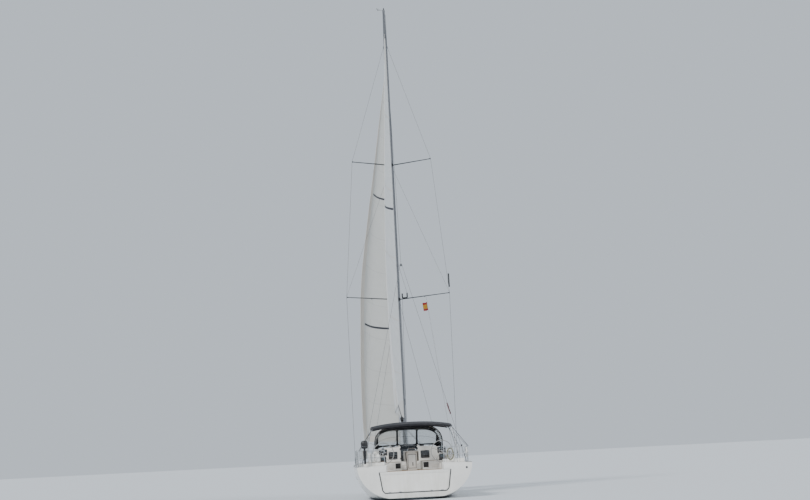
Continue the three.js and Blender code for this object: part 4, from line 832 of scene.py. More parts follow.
def glass_finish(name, tint, roughness=0.06):
    """Dark acrylic: a deep tint under a clear gloss, with faint wiping marks."""
    made, tree, shader, place = material(name, coat=1.0)
    marks = noise(tree, place, 9.0, 5.0)
    colour = shade(tree, marks, (*tint, 1.0), (*(value * 1.8 for value in tint), 1.0))
    wire(tree, shader, colour, spread(tree, marks, roughness, roughness * 3))
    return made


SMOKED = glass_finish("smoked_acrylic", (0.012, 0.015, 0.018))


def side_window(name, y0, y1, z_at, x_at, corner=0.05):
    """A flush window on both sides, between two heights, laid on a curved side."""
    def place(u, v):
        y = mix(y0, y1, 0.5 - 0.5 * math.cos(math.pi * v))
        low, high = z_at(y)
        pull = corner_inset(min(y - y0, y1 - y), corner)
        z = mix(low + pull, high - pull, u)
        return Vector((x_at(y, z) + 0.002, y, z))

    return both_sides(name, weld(thicken(surface(name, place, 6, 22), 0.006)))


def hull_side_x(y, z):
    row = sheer_row(y)
    return min((hull_ring(row, i / 160) for i in range(40, 161)), key=lambda p: abs(p.z - z)).x


def roof_window_z(y):
    return 1.6 + 0.012 * (y + 2.6), roof_row(y)[3] - 0.16


windows = []
for y0, y1 in ((-2.2, -0.95), (-0.85, 0.75), (0.85, 2.55)):
    windows.append(side_window("roof_window", y0, y1, roof_window_z, roof_side_x))
for y0, y1 in ((-3.4, -2.5), (0.3, 1.3), (2.4, 3.1)):
    windows.append(side_window("hull_window", y0, y1, lambda y: (0.83, 0.99), hull_side_x, 0.06))
assemble("side_windows", windows, "yacht", "smoked", SMOKED)

# Cockpit: one white moulding with a sole, two benches with locker doors and vents in their aft ends,
# coamings and a bridge step. Laid teak covers the sole, the step and the bench tops.


def skin(node_name, name, width, degrees=35, steps=2):
    """A copy of a frame node with its flat facets joined and its edges rounded."""
    piece = bpy.data.objects.new(name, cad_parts[node_name].data.copy())
    bpy.context.scene.collection.objects.link(piece)
    select_only(piece)
    bpy.ops.object.mode_set(mode="EDIT")
    bpy.ops.mesh.select_all(action="SELECT")
    bpy.ops.mesh.customdata_custom_splitnormals_clear()
    bpy.ops.mesh.remove_doubles(threshold=0.00002)
    bpy.ops.mesh.dissolve_limited(angle_limit=math.radians(0.6))
    bpy.ops.object.mode_set(mode="OBJECT")
    piece.data.name = name
    return soften(piece, width, steps, degrees)


fit(skin("cockpit", "cockpit_moulding", 0.012, steps=3), "yacht", "gelcoat", GELCOAT, "cockpit")
DECKING = 0.008
TEAK_PLACES = [
    # x from, x to, y from, y to, and z of the moulding under the planks
    (-1.36, 1.36, -6.66, -5.19, SOLE_Z), (-1.06, 1.06, -7.49, -6.7, SOLE_Z),
    (-0.4, 0.4, -5.15, -2.94, SOLE_Z), (-0.4, 0.4, -2.87, -2.68, 1.33),
    (0.47, 1.37, -5.11, -2.69, 1.5), (-1.37, -0.47, -5.11, -2.69, 1.5),
]
decking = []
for x0, x1, y0, y1, z in TEAK_PLACES:
    decking.append(block("planks", (x0, y0, z - 0.002), (x1, y1, z + DECKING), 0.003, 1))
assemble("cockpit_teak", decking, "yacht", "teak", TEAK_LENGTHWAYS)
BLACK = plain_finish("black_plastic", (0.018, 0.018, 0.02), (0.06, 0.06, 0.06), 0.45, grain=0.0006)
vents = []
locker_doors = []
for side in (-1, 1):
    x0, x1 = sorted((side * 0.47, side * 0.68))
    vents.append(block("vent", (x0, -5.158, 1.24), (x1, -5.148, 1.45), 0.004))
    for i in range(5):
        z = 1.27 + i * 0.036
        vents.append(block("slat", (x0 + 0.02, -5.165, z), (x1 - 0.02, -5.155, z + 0.014), 0.003, 1))
    x0, x1 = sorted((side * 0.78, side * 1.3))
    locker_doors.append(block("locker_door", (x0, -5.162, 1.22), (x1, -5.148, 1.46), 0.007))
    latch = [(side * x, y, 1.37) for x, y in ((1.0, -5.16), (1.0, -5.185), (1.08, -5.185), (1.08, -5.16))]
    locker_doors.append(tube("latch", bent(latch, 0.01), 0.005, 1))
assemble("bench_vents", vents, "yacht", "black_plastic", BLACK)
assemble("locker_doors", locker_doors, "yacht", "gelcoat", GELCOAT)

# Keel, rudder and drive: a foil-shaped fin with a cast-iron bulb, a spade rudder on its stock, and a
# saildrive leg with a bronze propeller, all but the bulb and propeller under bottom paint.
FOIL_SHAPE = [(0.0, 0.0), (0.03, 0.42), (0.1, 0.76), (0.3, 1.0), (0.5, 0.88), (0.8, 0.38), (1.0, 0.03)]


def foil_body(name, rows, around=36, along=14):
    """A foil through rows of height, leading edge y, trailing edge y and half thickness."""
    def place(u, v):
        z, leading, trailing, half = between(rows, v)
        chord = (1 - math.cos(2 * math.pi * u)) / 2
        side = 1 if u <= 0.5 else -1
        wide = between(FOIL_SHAPE, share_of(FOIL_SHAPE, chord))[1]
        return Vector((side * half * max(wide, 0.0), mix(leading, trailing, chord), z))

    return weld(surface(name, place, around, along))


def share_of(rows, wanted):
    """Where along a table its first column reaches a value."""
    for i, (low, high) in enumerate(zip(rows, rows[1:])):
        if wanted <= high[0] + 1e-9:
            return (i + (wanted - low[0]) / (high[0] - low[0])) / (len(rows) - 1)
    return 1.0


BOTTOM_PAINT = plain_finish("bottom_paint", (0.022, 0.030, 0.042), (0.06, 0.075, 0.075), 0.75, dirt=0.9)
BARE_IRON = plain_finish("keel_iron", (0.03, 0.036, 0.045), (0.10, 0.055, 0.035), 0.7, dirt=0.9)
BRONZE = plain_finish("bronze", (0.42, 0.25, 0.11), (0.20, 0.22, 0.13), 0.38, dirt=0.8, metallic=1.0)
FIN_ROWS = [(-0.42, 0.99, -0.89, 0.118), (-0.7, 0.93, -0.83, 0.115), (-1.98, 0.7, -0.65, 0.095)]
BLADE_ROWS = [(-0.15, -6.27, -6.93, 0.062), (-1.0, -6.3, -6.85, 0.05), (-1.9, -6.33, -6.75, 0.034)]
LEG_ROWS = [(-0.25, -2.95, -3.35, 0.06), (-0.9, -3.0, -3.33, 0.052)]
BULB_ROWS = [
    # y and half width of the bulb
    (1.25, 0.02), (1.15, 0.09), (0.9, 0.17), (0.4, 0.235), (-0.3, 0.25), (-0.9, 0.19), (-1.35, 0.095),
    (-1.5, 0.03),
]
fit(smooth(foil_body("keel_blade", FIN_ROWS), 60), "yacht", "antifoul", BOTTOM_PAINT, "keel_fin")


def bulb_place(u, v):
    y, half = between(BULB_ROWS, v)
    turn = 2 * math.pi * u
    drop = 0.75 if math.sin(turn) < 0 else 0.9
    z = -2.11 + half * drop * math.sin(turn)
    return Vector((half * math.cos(turn), y, min(z, -1.98) if half > 0.1 else z))


fit(smooth(weld(surface("bulb_casting", bulb_place, 32, 40)), 40), "yacht", "iron", BARE_IRON, "keel_bulb")
stock_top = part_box("rudder")[1].z
rudder = [foil_body("blade", BLADE_ROWS), tube("stock", ((0, -6.45, -0.6), (0, -6.45, stock_top)), 0.045, 4)]
assemble("rudder_blade", rudder, "rudder", "antifoul", BOTTOM_PAINT, "rudder", degrees=50)
gearcase = [(0, y, -0.9) for y in (-2.86, -2.9, -3.0, -3.35, -3.494)]
drive = [foil_body("leg", LEG_ROWS, along=4)]
drive.append(tube("gearcase", gearcase, 0.062, 4, tapers=(0.1, 0.62, 1, 1, 0.8)))
assemble("drive_leg", drive, "yacht", "aluminium", BOTTOM_PAINT, "saildrive_leg", degrees=50)
fit(skin("propeller", "propeller_casting", 0.002, 50), "propeller", "bronze", BRONZE, "propeller")

# Mast: an anodised aluminium section with a tapered head, a sail track up its aft face, lugs for the
# gooseneck and a shelf for the kicker. It stands on the coachroof and carries two lamps.
MAST_Y = 0.9
MAST_HALF_WIDTH = 0.085
MAST_HALF_DEPTH = 0.125
MAST_BASE_Z = 2.15
HOUNDS_Z = 20.35
MASTHEAD_Z = 22.1
GOOSENECK = Vector((0.0, 0.735, 3.06))


def mast_point(turn, z, share=1.0):
    taper = max((z - HOUNDS_Z + 0.6) / (MASTHEAD_Z - HOUNDS_Z + 0.6), 0.0)
    share *= 1 - 0.4 * taper
    x = share * MAST_HALF_WIDTH * math.cos(turn)
    return Vector((x, MAST_Y - 0.04 * taper + share * MAST_HALF_DEPTH * math.sin(turn), z))


def mast_sleeve(name, low, high, share=1.0, along=6):
    return weld(surface(name, lambda u, v: mast_point(2 * math.pi * u, mix(low, high, v), share), 40, along))


def anodised_rig_and_painted_shade():
    """Grey anodising with the long fine drawing lines of an extrusion, its dark tone partly painted shade."""
    made, tree, shader, place = material("spar_grey", metallic=0.8)
    drawn = node(tree, "Mapping", place, Scale=(60.0, 60.0, 0.4)).outputs[0]
    line = noise(tree, drawn, 2.0, 3.0)
    mask, _ = use(tree, WEATHER, Place=place, Amount=0.6)
    tone = shade(tree, line, (0.15, 0.157, 0.172, 1.0), (0.215, 0.222, 0.236, 1.0))
    tone = shade(tree, mask, tone, (0.17, 0.173, 0.18, 1.0))
    wire(tree, shader, tone, spread(tree, line, 0.36, 0.52), line, 0.0003)
    return made


# Painted shade: the spar grey is darkened to the mast's look in shade against the sky; the boom, kicker and
# furler share it.
SPAR = anodised_rig_and_painted_shade()
mast_parts = [
    mast_sleeve("section", MAST_BASE_Z, MASTHEAD_Z, along=60),
    mast_sleeve("foot", MAST_BASE_Z, 2.27, 1.07),
    mast_sleeve("cap", MASTHEAD_Z - 0.09, MASTHEAD_Z, 1.1, 2),
    block("track", (-0.014, 0.762, 3.3), (0.014, 0.79, MASTHEAD_Z - 0.15), 0.003, 1),
]
for low, high in ((-0.14, -0.0603), (0.0603, 0.14)):
    lug = (-0.045, 0.707, GOOSENECK.z + low), (0.045, 0.84, GOOSENECK.z + high)
    mast_parts.append(block("lug", *lug, 0.008))
mast_parts.append(block("shelf", (-0.034, 0.701, 2.347), (0.034, 0.84, 2.3867), 0.005))
assemble("mast_section", mast_parts, "yacht", "aluminium", SPAR, "mast", degrees=40)
fittings = [
    block("steaming_lamp", (-0.035, 1.015, 12.0), (0.035, 1.08, 12.14), 0.015),
    block("deck_lamp", (-0.045, 1.015, 9.6), (0.045, 1.07, 9.66), 0.012),
    block("exit_plate", (0.075, 0.86, 4.0), (0.093, 0.94, 4.26), 0.008),
    block("exit_plate", (-0.093, 0.86, 4.35), (-0.075, 0.94, 4.61), 0.008),
]
assemble("mast_fittings", fittings, "yacht", "black_plastic", BLACK)

# Halyards and roof lines: dark braided lines up and down the mast, and four on each side that turn at
# its foot and run aft over the coachroof to the clutches.


def rope_finish(name, colour, fleck):
    """Braided line: a bump of small strands, and a coloured fleck in them."""
    made, tree, shader, place = material(name)
    fine = noise(tree, place, 220.0, 2.0)
    speckle = node(tree, "MapRange", Value=fine, From_Min=0.42, From_Max=0.6).outputs[0]
    braid = node(tree, "TexVoronoi", Vector=place, Scale=1.0 / 0.012).outputs["Distance"]
    wire(tree, shader, shade(tree, speckle, (*colour, 1), (*fleck, 1)), 0.85, braid, 0.003, 0.8)
    return made


ROPE_PALE = rope_finish("rope_pale", (0.55, 0.53, 0.47), (0.25, 0.27, 0.33))
ROPE_OLIVE = rope_finish("rope_olive", (0.13, 0.13, 0.075), (0.30, 0.28, 0.19))
ROPE_DARK = rope_finish("rope_dark", (0.03, 0.032, 0.04), (0.12, 0.12, 0.14))
halyards = [
    tube("lazy_jack", ((0.1, 0.86, 10.3), (0.42, 0.84, 9.02)), 0.005, 1),
    tube("spare_halyard", ((0.2, 0.84, 8.8), (0.125, 0.86, 4.6), (0.11, 0.86, 4.2)), 0.006, 1),
]
for x, y, top in ((0.105, 0.86, 21.9), (0.118, 0.95, 20.2), (-0.105, 0.9, 19.6)):
    halyards.append(tube("halyard", ((x * 0.7, y, top), (x, y, 4.2), (x, y + 0.02, 2.25)), 0.006, 1))
for side in (-1, 1):
    for i in range(4):
        x = side * (0.12 + 0.035 * i)
        wide = side * (0.56 + 0.05 * i)
        run = [(x * 0.8, 0.98, 2.25), (x, 0.9, 2.17), (wide, 0.35, roof_z(wide, 0.35) + 0.02)]
        run += [(wide, y, roof_z(wide, y) + 0.012) for y in (-0.2, -0.6, -0.95)]
        halyards.append(tube("roof_line", bent(run, 0.05), 0.006, 1))
fit(join("halyards", *halyards), "yacht", "sailcloth", ROPE_DARK)

# Spreaders: two pairs of swept aluminium arms held by collars round the mast, with rubber boots on
# their tips and a tubular saddle on the lower starboard arm.
SPREADERS = {
    # half span, z of the root, z of the tip, sweep aft
    "upper": (1.78, 14.88, 15.04, 0.42), "lower": (2.31, 8.74, 8.9, 0.48),
}
# Partly painted shade: the arms' near-black tone is their dark finish and their shaded look against the sky.
SPREADER_DARK_AND_SHADE = plain_finish(
    "spreader_grey", (0.014, 0.016, 0.02), (0.034, 0.036, 0.04), 0.5, grain=0.0003, metallic=0.2,
)
boots = []
for label, (half_span, root_z, tip_z, sweep) in SPREADERS.items():
    def arm_place(u, v):
        turn = 2 * math.pi * u
        y = MAST_Y - sweep * v + mix(0.07, 0.036, v) * math.cos(turn)
        z = mix(root_z, tip_z, v) + mix(0.023, 0.016, v) * math.sin(turn)
        return Vector((mix(0.03, half_span - 0.01, v), y, z))

    arms = both_sides("arms", weld(surface("arm", arm_place, 20, 16)))
    collar = mast_sleeve("collar", root_z - 0.06, root_z + 0.06, 1.12, 3)
    name = f"{label}_spreader_pair"
    assemble(name, (arms, collar), "yacht", "aluminium", SPREADER_DARK_AND_SHADE, f"{label}_spreaders", degrees=40)
    for side in (-1, 1):
        end = Vector((side * (half_span - 0.015), MAST_Y - sweep, tip_z))
        route = (end - Vector((side * 0.055, 0, 0.003)), end, end + Vector((side * 0.02, 0, 0)))
        boots.append(tube("boot", route, 0.03, 3, tapers=(0.6, 1, 0.7)))
saddle_y = MAST_Y - SPREADERS["lower"][3] * 0.12
saddle = [(0.2, saddle_y, 9.0), (0.2, saddle_y, 8.8), (0.42, saddle_y, 8.8), (0.42, saddle_y, 9.02)]
boots.append(tube("saddle", bent(saddle, 0.05), 0.03, 3))
fit(join("spreader_boots", *boots), "yacht", "black_plastic", BLACK)

# Shrouds: steel wires on each side, a cap shroud over both spreader tips, a diagonal and a lower one,
# each with a rigging screw or a tang at its end and a chainplate through the deck.
SIDES = (("port", -1), ("starboard", 1))
CHAINPLATE = Vector((2.265, 0.42, 1.445))
RIGGING_WIRE = plain_finish(
    "rigging_wire", (0.10, 0.105, 0.115), (0.17, 0.175, 0.18), 0.5, dirt=0.6, metallic=0.4,
)


def spreader_tip(label, side):
    half_span, _, tip_z, sweep = SPREADERS[label]
    return Vector((side * half_span, MAST_Y - sweep, tip_z))


def screw(foot, along, length=0.36):
    """A rigging screw: two threaded ends and an open body."""
    step = along.normalized() * length
    route = [foot + step * share for share in (0, 0.18, 0.2, 0.3, 0.7, 0.8, 0.82, 1)]
    return tube("screw", route, 0.017, 2, tapers=(0.55, 0.55, 0.85, 1.1, 1.1, 0.85, 0.5, 0.5))


def chainplate(at, half, top, wide, long):
    """A plate that comes up through the deck, and the cover round its foot."""
    x, y, z = at.x, at.y, deck_z(at.x, at.y)
    return [
        block("chainplate", (x - half, y - 0.03, z - 0.01), (x + half, y + 0.03, z + top), 0.004),
        block("cover", (x - wide, y - long, z - 0.005), (x + wide, y + long, z + 0.006), 0.002, 1),
    ]


for label, side in SIDES:
    hounds = Vector((side * 0.095, 0.88, HOUNDS_Z))
    foot = Vector((side * CHAINPLATE.x, CHAINPLATE.y, CHAINPLATE.z))
    lower_foot = Vector((side * 1.575, 0.55, deck_z(1.575, 0.55) + 0.03))
    lower_top = Vector((side * 0.085, 0.88, 8.5))
    upper, lower = spreader_tip("upper", side), spreader_tip("lower", side)
    tang = (hounds.x - 0.009, 0.855, HOUNDS_Z - 0.03), (hounds.x + 0.009, 0.905, HOUNDS_Z + 0.06)
    wires = [
        tube("cap", (hounds, upper), 0.0055, 1),
        tube("vertical", (upper, lower), 0.006, 1),
        tube("vertical", (lower, foot), 0.007, 1),
        screw(foot, lower - foot),
        tube("diagonal", ((side * 0.085, 0.9, 14.66), lower + Vector((0, 0, 0.02))), 0.0045, 1),
        tube("lower_stay", (lower_top, lower_foot), 0.0055, 1),
        screw(lower_foot, lower_top - lower_foot),
        block("tang", *tang, 0.004),
    ]
    for at in (foot, lower_foot):
        wires += chainplate(at, 0.005, 0.055, 0.03, 0.06)
    assemble(f"shrouds_{label}", wires, "yacht", "steel", RIGGING_WIRE, f"shroud_{label}")

# Forestay: a wire inside the aluminium foil of the roller furler, with its drum above the stemhead and
# the halyard swivel under the mast's tang.
STAY_FOOT = Vector((0, 7.56, 1.85))
STAY_TOP = Vector((0, 1.06, 20.25))
DRUM_PARTS = ((0.006, 0.0075, 0.115), (0.0075, 0.0145, 0.055), (0.0145, 0.016, 0.115), (0.018, 0.024, 0.034))


def up_stay(*shares):
    return [STAY_FOOT.lerp(STAY_TOP, share) for share in shares]


stay = [tube("foil", up_stay(0, 0.003, 0.955, 1), 0.022, 3, tapers=(0.6, 1, 1, 0.3))]
for low, high, radius in DRUM_PARTS:
    route = up_stay(low, mix(low, high, 0.2), mix(low, high, 0.8), high)
    stay.append(tube("drum", route, radius, 6, tapers=(0.94, 1, 1, 0.94)))
stay.append(block("tang", (-0.018, 1.0, 20.22), (0.018, 1.07, 20.31), 0.005))
stay.append(tube("swivel", up_stay(0.942, 0.944, 0.95, 0.952), 0.04, 4, tapers=(0.6, 1, 1, 0.6)))
assemble("forestay_gear", stay, "yacht", "aluminium", SPAR, "forestay_furler", degrees=40)

# Backstay: one wire from the masthead to a bridle plate, and two legs with rigging screws from there
# to the quarters.
BACKSTAY_TOP = Vector((0, 0.735, 21.95))
BRIDLE = Vector((0, -4.13, 9.75))
BACKSTAY_FOOT = Vector((2.08, -7.28, 1.42))
plate_shape = [(-0.035, 0.05), (0.035, 0.05), (0.06, -0.03), (0.035, -0.06), (-0.035, -0.06), (-0.06, -0.03)]
plate_shape = [(x, BRIDLE.y - 0.006, BRIDLE.z + z) for x, z in plate_shape]
backstay = [
    tube("upper", (BACKSTAY_TOP, BRIDLE), 0.0065, 1), slab("bridle", plate_shape, (0, 0.012, 0)),
    block("tang", (-0.01, 0.72, 21.9), (0.01, 0.8, 21.98), 0.004),
]
for side in (-1, 1):
    foot = Vector((side * BACKSTAY_FOOT.x, BACKSTAY_FOOT.y, BACKSTAY_FOOT.z))
    corner = BRIDLE + Vector((side * 0.045, 0, -0.03))
    half_pin = Vector((0, 0.015, 0))
    backstay.append(tube("leg", (corner, foot), 0.006, 1))
    backstay.append(screw(foot + Vector((0, 0, 0.03)), corner - foot, 0.42))
    backstay += chainplate(foot, 0.006, 0.06, 0.035, 0.055)
    backstay.append(tube("pin", (corner - half_pin, corner + half_pin), 0.012, 2))
assemble("split_backstay", backstay, "yacht", "steel", RIGGING_WIRE, "backstay")

# Masthead unit: a plastic base with the wind vane and its cups on an arm, and the masthead lamp, all
# screwed down on the mast's cap.
cup_heights = (22.12, 22.15, 22.17, 22.205)
lamp_heights = (22.11, 22.13, 22.19, 22.209)
vane = ((-0.33, 0.9, 22.2), (-0.255, 0.958, 22.2), (-0.14, 1.05, 22.2))
unit = [
    block("base", (-0.04, 0.79, MASTHEAD_Z + 0.0003), (0.04, 0.93, MASTHEAD_Z + 0.024), 0.006),
    tube("vane_arm", ((0, 0.86, 22.112), (-0.255, 0.958, 22.14), (-0.255, 0.958, 22.21)), 0.007, 2),
    tube("cups", [(-0.255, 0.958, z) for z in cup_heights], 0.016, 3, tapers=(0.5, 1, 1, 0.4)),
    tube("lamp", [(0, 0.84, z) for z in lamp_heights], 0.028, 5, tapers=(1, 0.85, 0.85, 0.6)),
    tube("vane", vane, 0.006, 1, tapers=(2.2, 0.7, 0.4)),
]
assemble("masthead_instruments", unit, "yacht", "black_plastic", BLACK, "masthead_unit")

# Boom and kicker: a rounded aluminium boom with cast end caps and bands, and a sprung strut under it
# with its tackle. Both turn about the gooseneck's pin.
BOOM_TURN = math.radians(3.2)
BOOM_LENGTH = 5.96
BOOM_RISE = 0.2
BOOM_AFT = Vector((-math.sin(BOOM_TURN), -math.cos(BOOM_TURN), 0)) * BOOM_LENGTH
BOOM_END = GOOSENECK + BOOM_AFT + Vector((0, 0, BOOM_RISE))
BOOM_SHARES = [(0.0, 0.45), (0.012, 0.6), (0.03, 1.0), (0.985, 1.0), (1.0, 0.7)]


def boom_point(t, turn, grow=0.0):
    share = between(BOOM_SHARES, share_of(BOOM_SHARES, t))[1]
    squared = [math.copysign(abs(value) ** 0.8, value) for value in (math.cos(turn), math.sin(turn))]
    across = (share * 0.07 + grow) * squared[0]
    up = (share * 0.095 + grow) * squared[1]
    centre = GOOSENECK.lerp(BOOM_END, t)
    return centre + Vector((across * math.cos(BOOM_TURN), -across * math.sin(BOOM_TURN), up))


def boom_sleeve(name, low, high, grow=0.0, along=8):
    def place(u, v):
        return boom_point(mix(low, high, v), -2 * math.pi * u, grow)

    return weld(surface(name, place, 32, along))


def crosswise(name, centre, half, radius, sides=5):
    """A round bar across the yacht, centred on a place."""
    return tube(name, (centre - Vector((half, 0, 0)), centre + Vector((half, 0, 0))), radius, sides)


pin = [GOOSENECK + Vector((0, 0, z)) for z in (-0.06, -0.055, 0.055, 0.06)]
boom_parts = [
    boom_sleeve("section", 0.0, 0.97, along=80), tube("pin", pin, 0.022, 5, tapers=(0.9, 1, 1, 0.9)),
]
assemble("boom_section", boom_parts, "boom_and_mainsail", "aluminium", SPAR, "boom", degrees=40)
outhaul = GOOSENECK.lerp(BOOM_END, 0.985) + Vector((0, 0, 0.1))
caps = [
    boom_sleeve("end_cap", 0.968, 1.0, 0.0015, 6), boom_sleeve("band", 0.3, 0.315, 0.003, 1),
    boom_sleeve("band", 0.62, 0.632, 0.003, 1), crosswise("sheave", outhaul, 0.02, 0.028),
]
assemble("boom_caps", caps, "boom_and_mainsail", "black_plastic", BLACK, degrees=40)
KICKER_FOOT = Vector((0, 0.735, 2.42))
KICKER_TOP = GOOSENECK.lerp(BOOM_END, 0.26) - Vector((0, 0, 0.126))


def up_kicker(low, high):
    return KICKER_FOOT.lerp(KICKER_TOP, low), KICKER_FOOT.lerp(KICKER_TOP, high)


lug = KICKER_TOP + Vector((-0.014, -0.045, -0.01)), KICKER_TOP + Vector((0.014, 0.045, 0.034))
kicker_parts = [
    crosswise("foot", KICKER_FOOT, 0.014, 0.033), tube("rod", up_kicker(0, 1), 0.023, 4),
    tube("sleeve", up_kicker(0, 0.55), 0.03, 5), tube("ring", up_kicker(0.53, 0.56), 0.034, 5),
    crosswise("head", KICKER_TOP, 0.02, 0.027), block("lug", *lug, 0.004),
]
assemble("kicker_strut", kicker_parts, "boom_and_mainsail", "aluminium", SPAR, "kicker", degrees=40)
tackle_route = (KICKER_FOOT + Vector((0, -0.03, -0.04)), KICKER_TOP + Vector((0, 0.03, -0.04)))
fit(tube("kicker_tackle", tackle_route, 0.006, 2), "boom_and_mainsail", "sailcloth", ROPE_DARK)

# Mainsheet: two rope tackles, each with a block on the coachroof, a block under the boom and three
# parts of line between them.


def sheet_block(centre, along, size=0.032):
    """A pulley block: two cheeks round a sheave, with its shackle."""
    along = along.normalized()
    axis = along.cross(Vector((0, 0, 1))).normalized() if abs(along.z) < 0.95 else Vector((1, 0, 0))
    cheeks = [
        tube("cheek", (centre + axis * a, centre + axis * b), size, 4, tapers=(1, 0.9))
        for a, b in ((-0.014, -0.009), (0.009, 0.014))
    ]
    sheave = tube("sheave", (centre - axis * 0.008, centre + axis * 0.008), size * 0.8, 4)
    shackle = tube("shackle", (centre, centre + along * (size + 0.03)), 0.007, 2)
    return join("block", *cheeks, sheave, shackle)


BOOM_EYE = GOOSENECK.lerp(BOOM_END, 0.31) - Vector((0, 0, 0.1))
for label, side in SIDES:
    foot = Vector((side * 0.62, -0.85, roof_z(side * 0.62, -0.85) + 0.07))
    head = BOOM_EYE + Vector((side * 0.03, 0, -0.05))
    fall = (head - foot).normalized()
    parts = [sheet_block(foot, -fall), sheet_block(head, fall)]
    fit(smooth(named(parts[0], f"deck_block_{label}")), "yacht", "black_plastic", BLACK)
    fit(smooth(named(parts[1], f"boom_block_{label}")), "boom_and_mainsail", "black_plastic", BLACK)
    strands = []
    for step in (-0.024, 0.0, 0.024):
        across = fall.cross(Vector((0, 1, 0))).normalized() * step
        points = [(foot + across).lerp(head + across, t / 20) for t in range(21)]
        strands.append(tube("strand", points, 0.0055, 1))
    tackle = join(f"mainsheet_{label}", *strands)
    tackle.data.materials.clear()
    tackle.data.materials.append(ROPE_PALE)
    tuple(foot)
    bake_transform(tackle)

# Mainsail: fully battened, of woven polyester panels stitched together, with pockets for its battens,
# layered corners, taped edges, a dark stripe that shows its depth and cars on the mast's track.
MAIN_ROWS = [
    # luff z, leech z, leech x, leech y
    (3.42, 3.78, -0.44, -4.99), (5.0, 5.3, -0.54, -4.43), (7.0, 7.2, -0.59, -3.86),
    (9.5, 9.65, -0.605, -3.13), (12.0, 12.1, -0.52, -2.4), (15.0, 15.05, -0.36, -1.48),
    (18.0, 18.0, -0.19, -0.56), (20.9, 20.9, -0.03, 0.47),
]
MAIN_SHAPE = (0.045, 1.0)


def main_luff(z):
    return Vector((0, 0.769 if z > HOUNDS_Z - 0.6 else 0.775, z))


def sail_point(rows, luff, shape, gap, u, v, lift=0.0):
    """A point of a sail: shape is its depth as a share of the chord and how flat it runs aft."""
    luff_z, leech_z, leech_x, leech_y = between(rows, v, held=True)
    start = luff(luff_z)
    chord = Vector((leech_x, leech_y, leech_z)) - start
    leeward = Vector((-abs(chord.y), -math.copysign(chord.x, chord.y), 0)).normalized()
    camber, flatness = shape
    deepest = 0.8 / (0.8 + flatness)
    depth = camber * chord.length * (u / deepest) ** 0.8 * ((1 - u) / (1 - deepest)) ** flatness
    if lift == 0.0:
        depth += 0.006 * math.sin(math.pi * u) * math.sin(v * 40) * min(chord.length, 1)
    return start + chord * mix(min(gap / chord.length, 0.5), 1, u) + leeward * (depth + lift)


def main_point(u, v, lift=0.0):
    return sail_point(MAIN_ROWS, main_luff, MAIN_SHAPE, 0.04, u, v, lift)


def sail_strip(name, place, u0, u1, v0, v1, lift=0.004, thick=0.003, across=2, along=40):
    """A strip of tape or webbing sewn on both faces of a sail."""
    faces = []
    for sign in (-1, 1):
        def strip_place(u, v):
            return place(mix(u0, u1, u), mix(v0, v1, v), sign * lift + 1e-6)

        faces.append(thicken(surface(name, strip_place, across, along), thick))
    return join(name, *faces)


def build_cloth(tree, given):
    """Weave, panel seams every 1.5 m, soft creases and stitching of a sail."""
    split = node(tree, "SeparateXYZ", given["Place"])
    rise = math_node(tree, "MULTIPLY", split.outputs[1], given["Slope"])
    up = math_node(tree, "ADD", split.outputs[2], rise)
    beside = math_node(tree, "ADD", up, 0.02)
    seam, stitch = (
        node(tree, "MapRange", Value=math_node(tree, "PINGPONG", value, 0.75), From_Min=low, From_Max=high,
             To_Min=1.0, To_Max=0.0).outputs[0]
        for value, low, high in ((up, 0.006, 0.02), (beside, 0.001, 0.004))
    )
    weave = noise(tree, given["Place"], 900.0, 1.0)
    flat = node(tree, "Mapping", given["Place"], Scale=(0.6, 0.6, 2.2)).outputs[0]
    return seam, stitch, weave, noise(tree, flat, 1.6, 4.0, 0.45)


CLOTH = group(
    "sail_panels", [("Place", "Vector", None), ("Slope", "Float", 0.0)],
    [("Seam", "Float"), ("Stitch", "Float"), ("Weave", "Float"), ("Crease", "Float")], build_cloth,
)


def sailcloth(name, colour, shadow, slope):
    made, tree, shader, place = material(name)
    seam, stitch, weave, crease = use(tree, CLOTH, Place=place, Slope=slope)
    tone = shade(tree, crease, (*shadow, 1), (*colour, 1))
    tone = shade(tree, math_node(tree, "MULTIPLY", seam, 0.35), tone, (0.50, 0.49, 0.46, 1))
    tone = shade(tree, math_node(tree, "MULTIPLY", stitch, 0.5), tone, (0.36, 0.36, 0.36, 1))
    height = math_node(tree, "MULTIPLY", crease, 6.0)
    height = math_node(tree, "ADD", height, math_node(tree, "ADD", seam, weave))
    wire(tree, shader, tone, spread(tree, weave, 0.62, 0.8), height, 0.004)
    return made


MAIN_CLOTH = sailcloth("main_sailcloth", (0.74, 0.745, 0.74), (0.66, 0.67, 0.67), 0.3)
TAPE_PALE = plain_finish("sail_tape", (0.70, 0.69, 0.66), (0.58, 0.57, 0.54), 0.7, grain=0.0008)
TAPE_DARK = plain_finish("dark_webbing", (0.035, 0.035, 0.045), (0.09, 0.09, 0.10), 0.8, grain=0.001)


def sail(name, place, across, along):
    return smooth(thicken(surface(name, place, across, along), 0.004), 60)


def corner_patch(name, place, corner, reach):
    """Layers of cloth that fan out from a corner, each smaller than the one below."""
    layers = []
    for i, share in enumerate((1.0, 0.7, 0.42)):
        def fan(u, v):
            along = corner[0] + reach[0] * share * v * math.cos(u * math.pi / 2)
            up = corner[1] + reach[1] * share * v * math.sin(u * math.pi / 2)
            return place(along, up, lift=sign * (0.0035 + 0.0012 * i))

        for sign in (-1, 1):
            layers.append(thicken(surface(name, fan, 12, 6), 0.0015))
    return join(name, *layers)


def ring(centre, across, up, turns):
    """Places round a centre: across times the cosine and up times the sine of each turn."""
    return [centre + Vector(across) * math.cos(turn) + Vector(up) * math.sin(turn) for turn in turns]


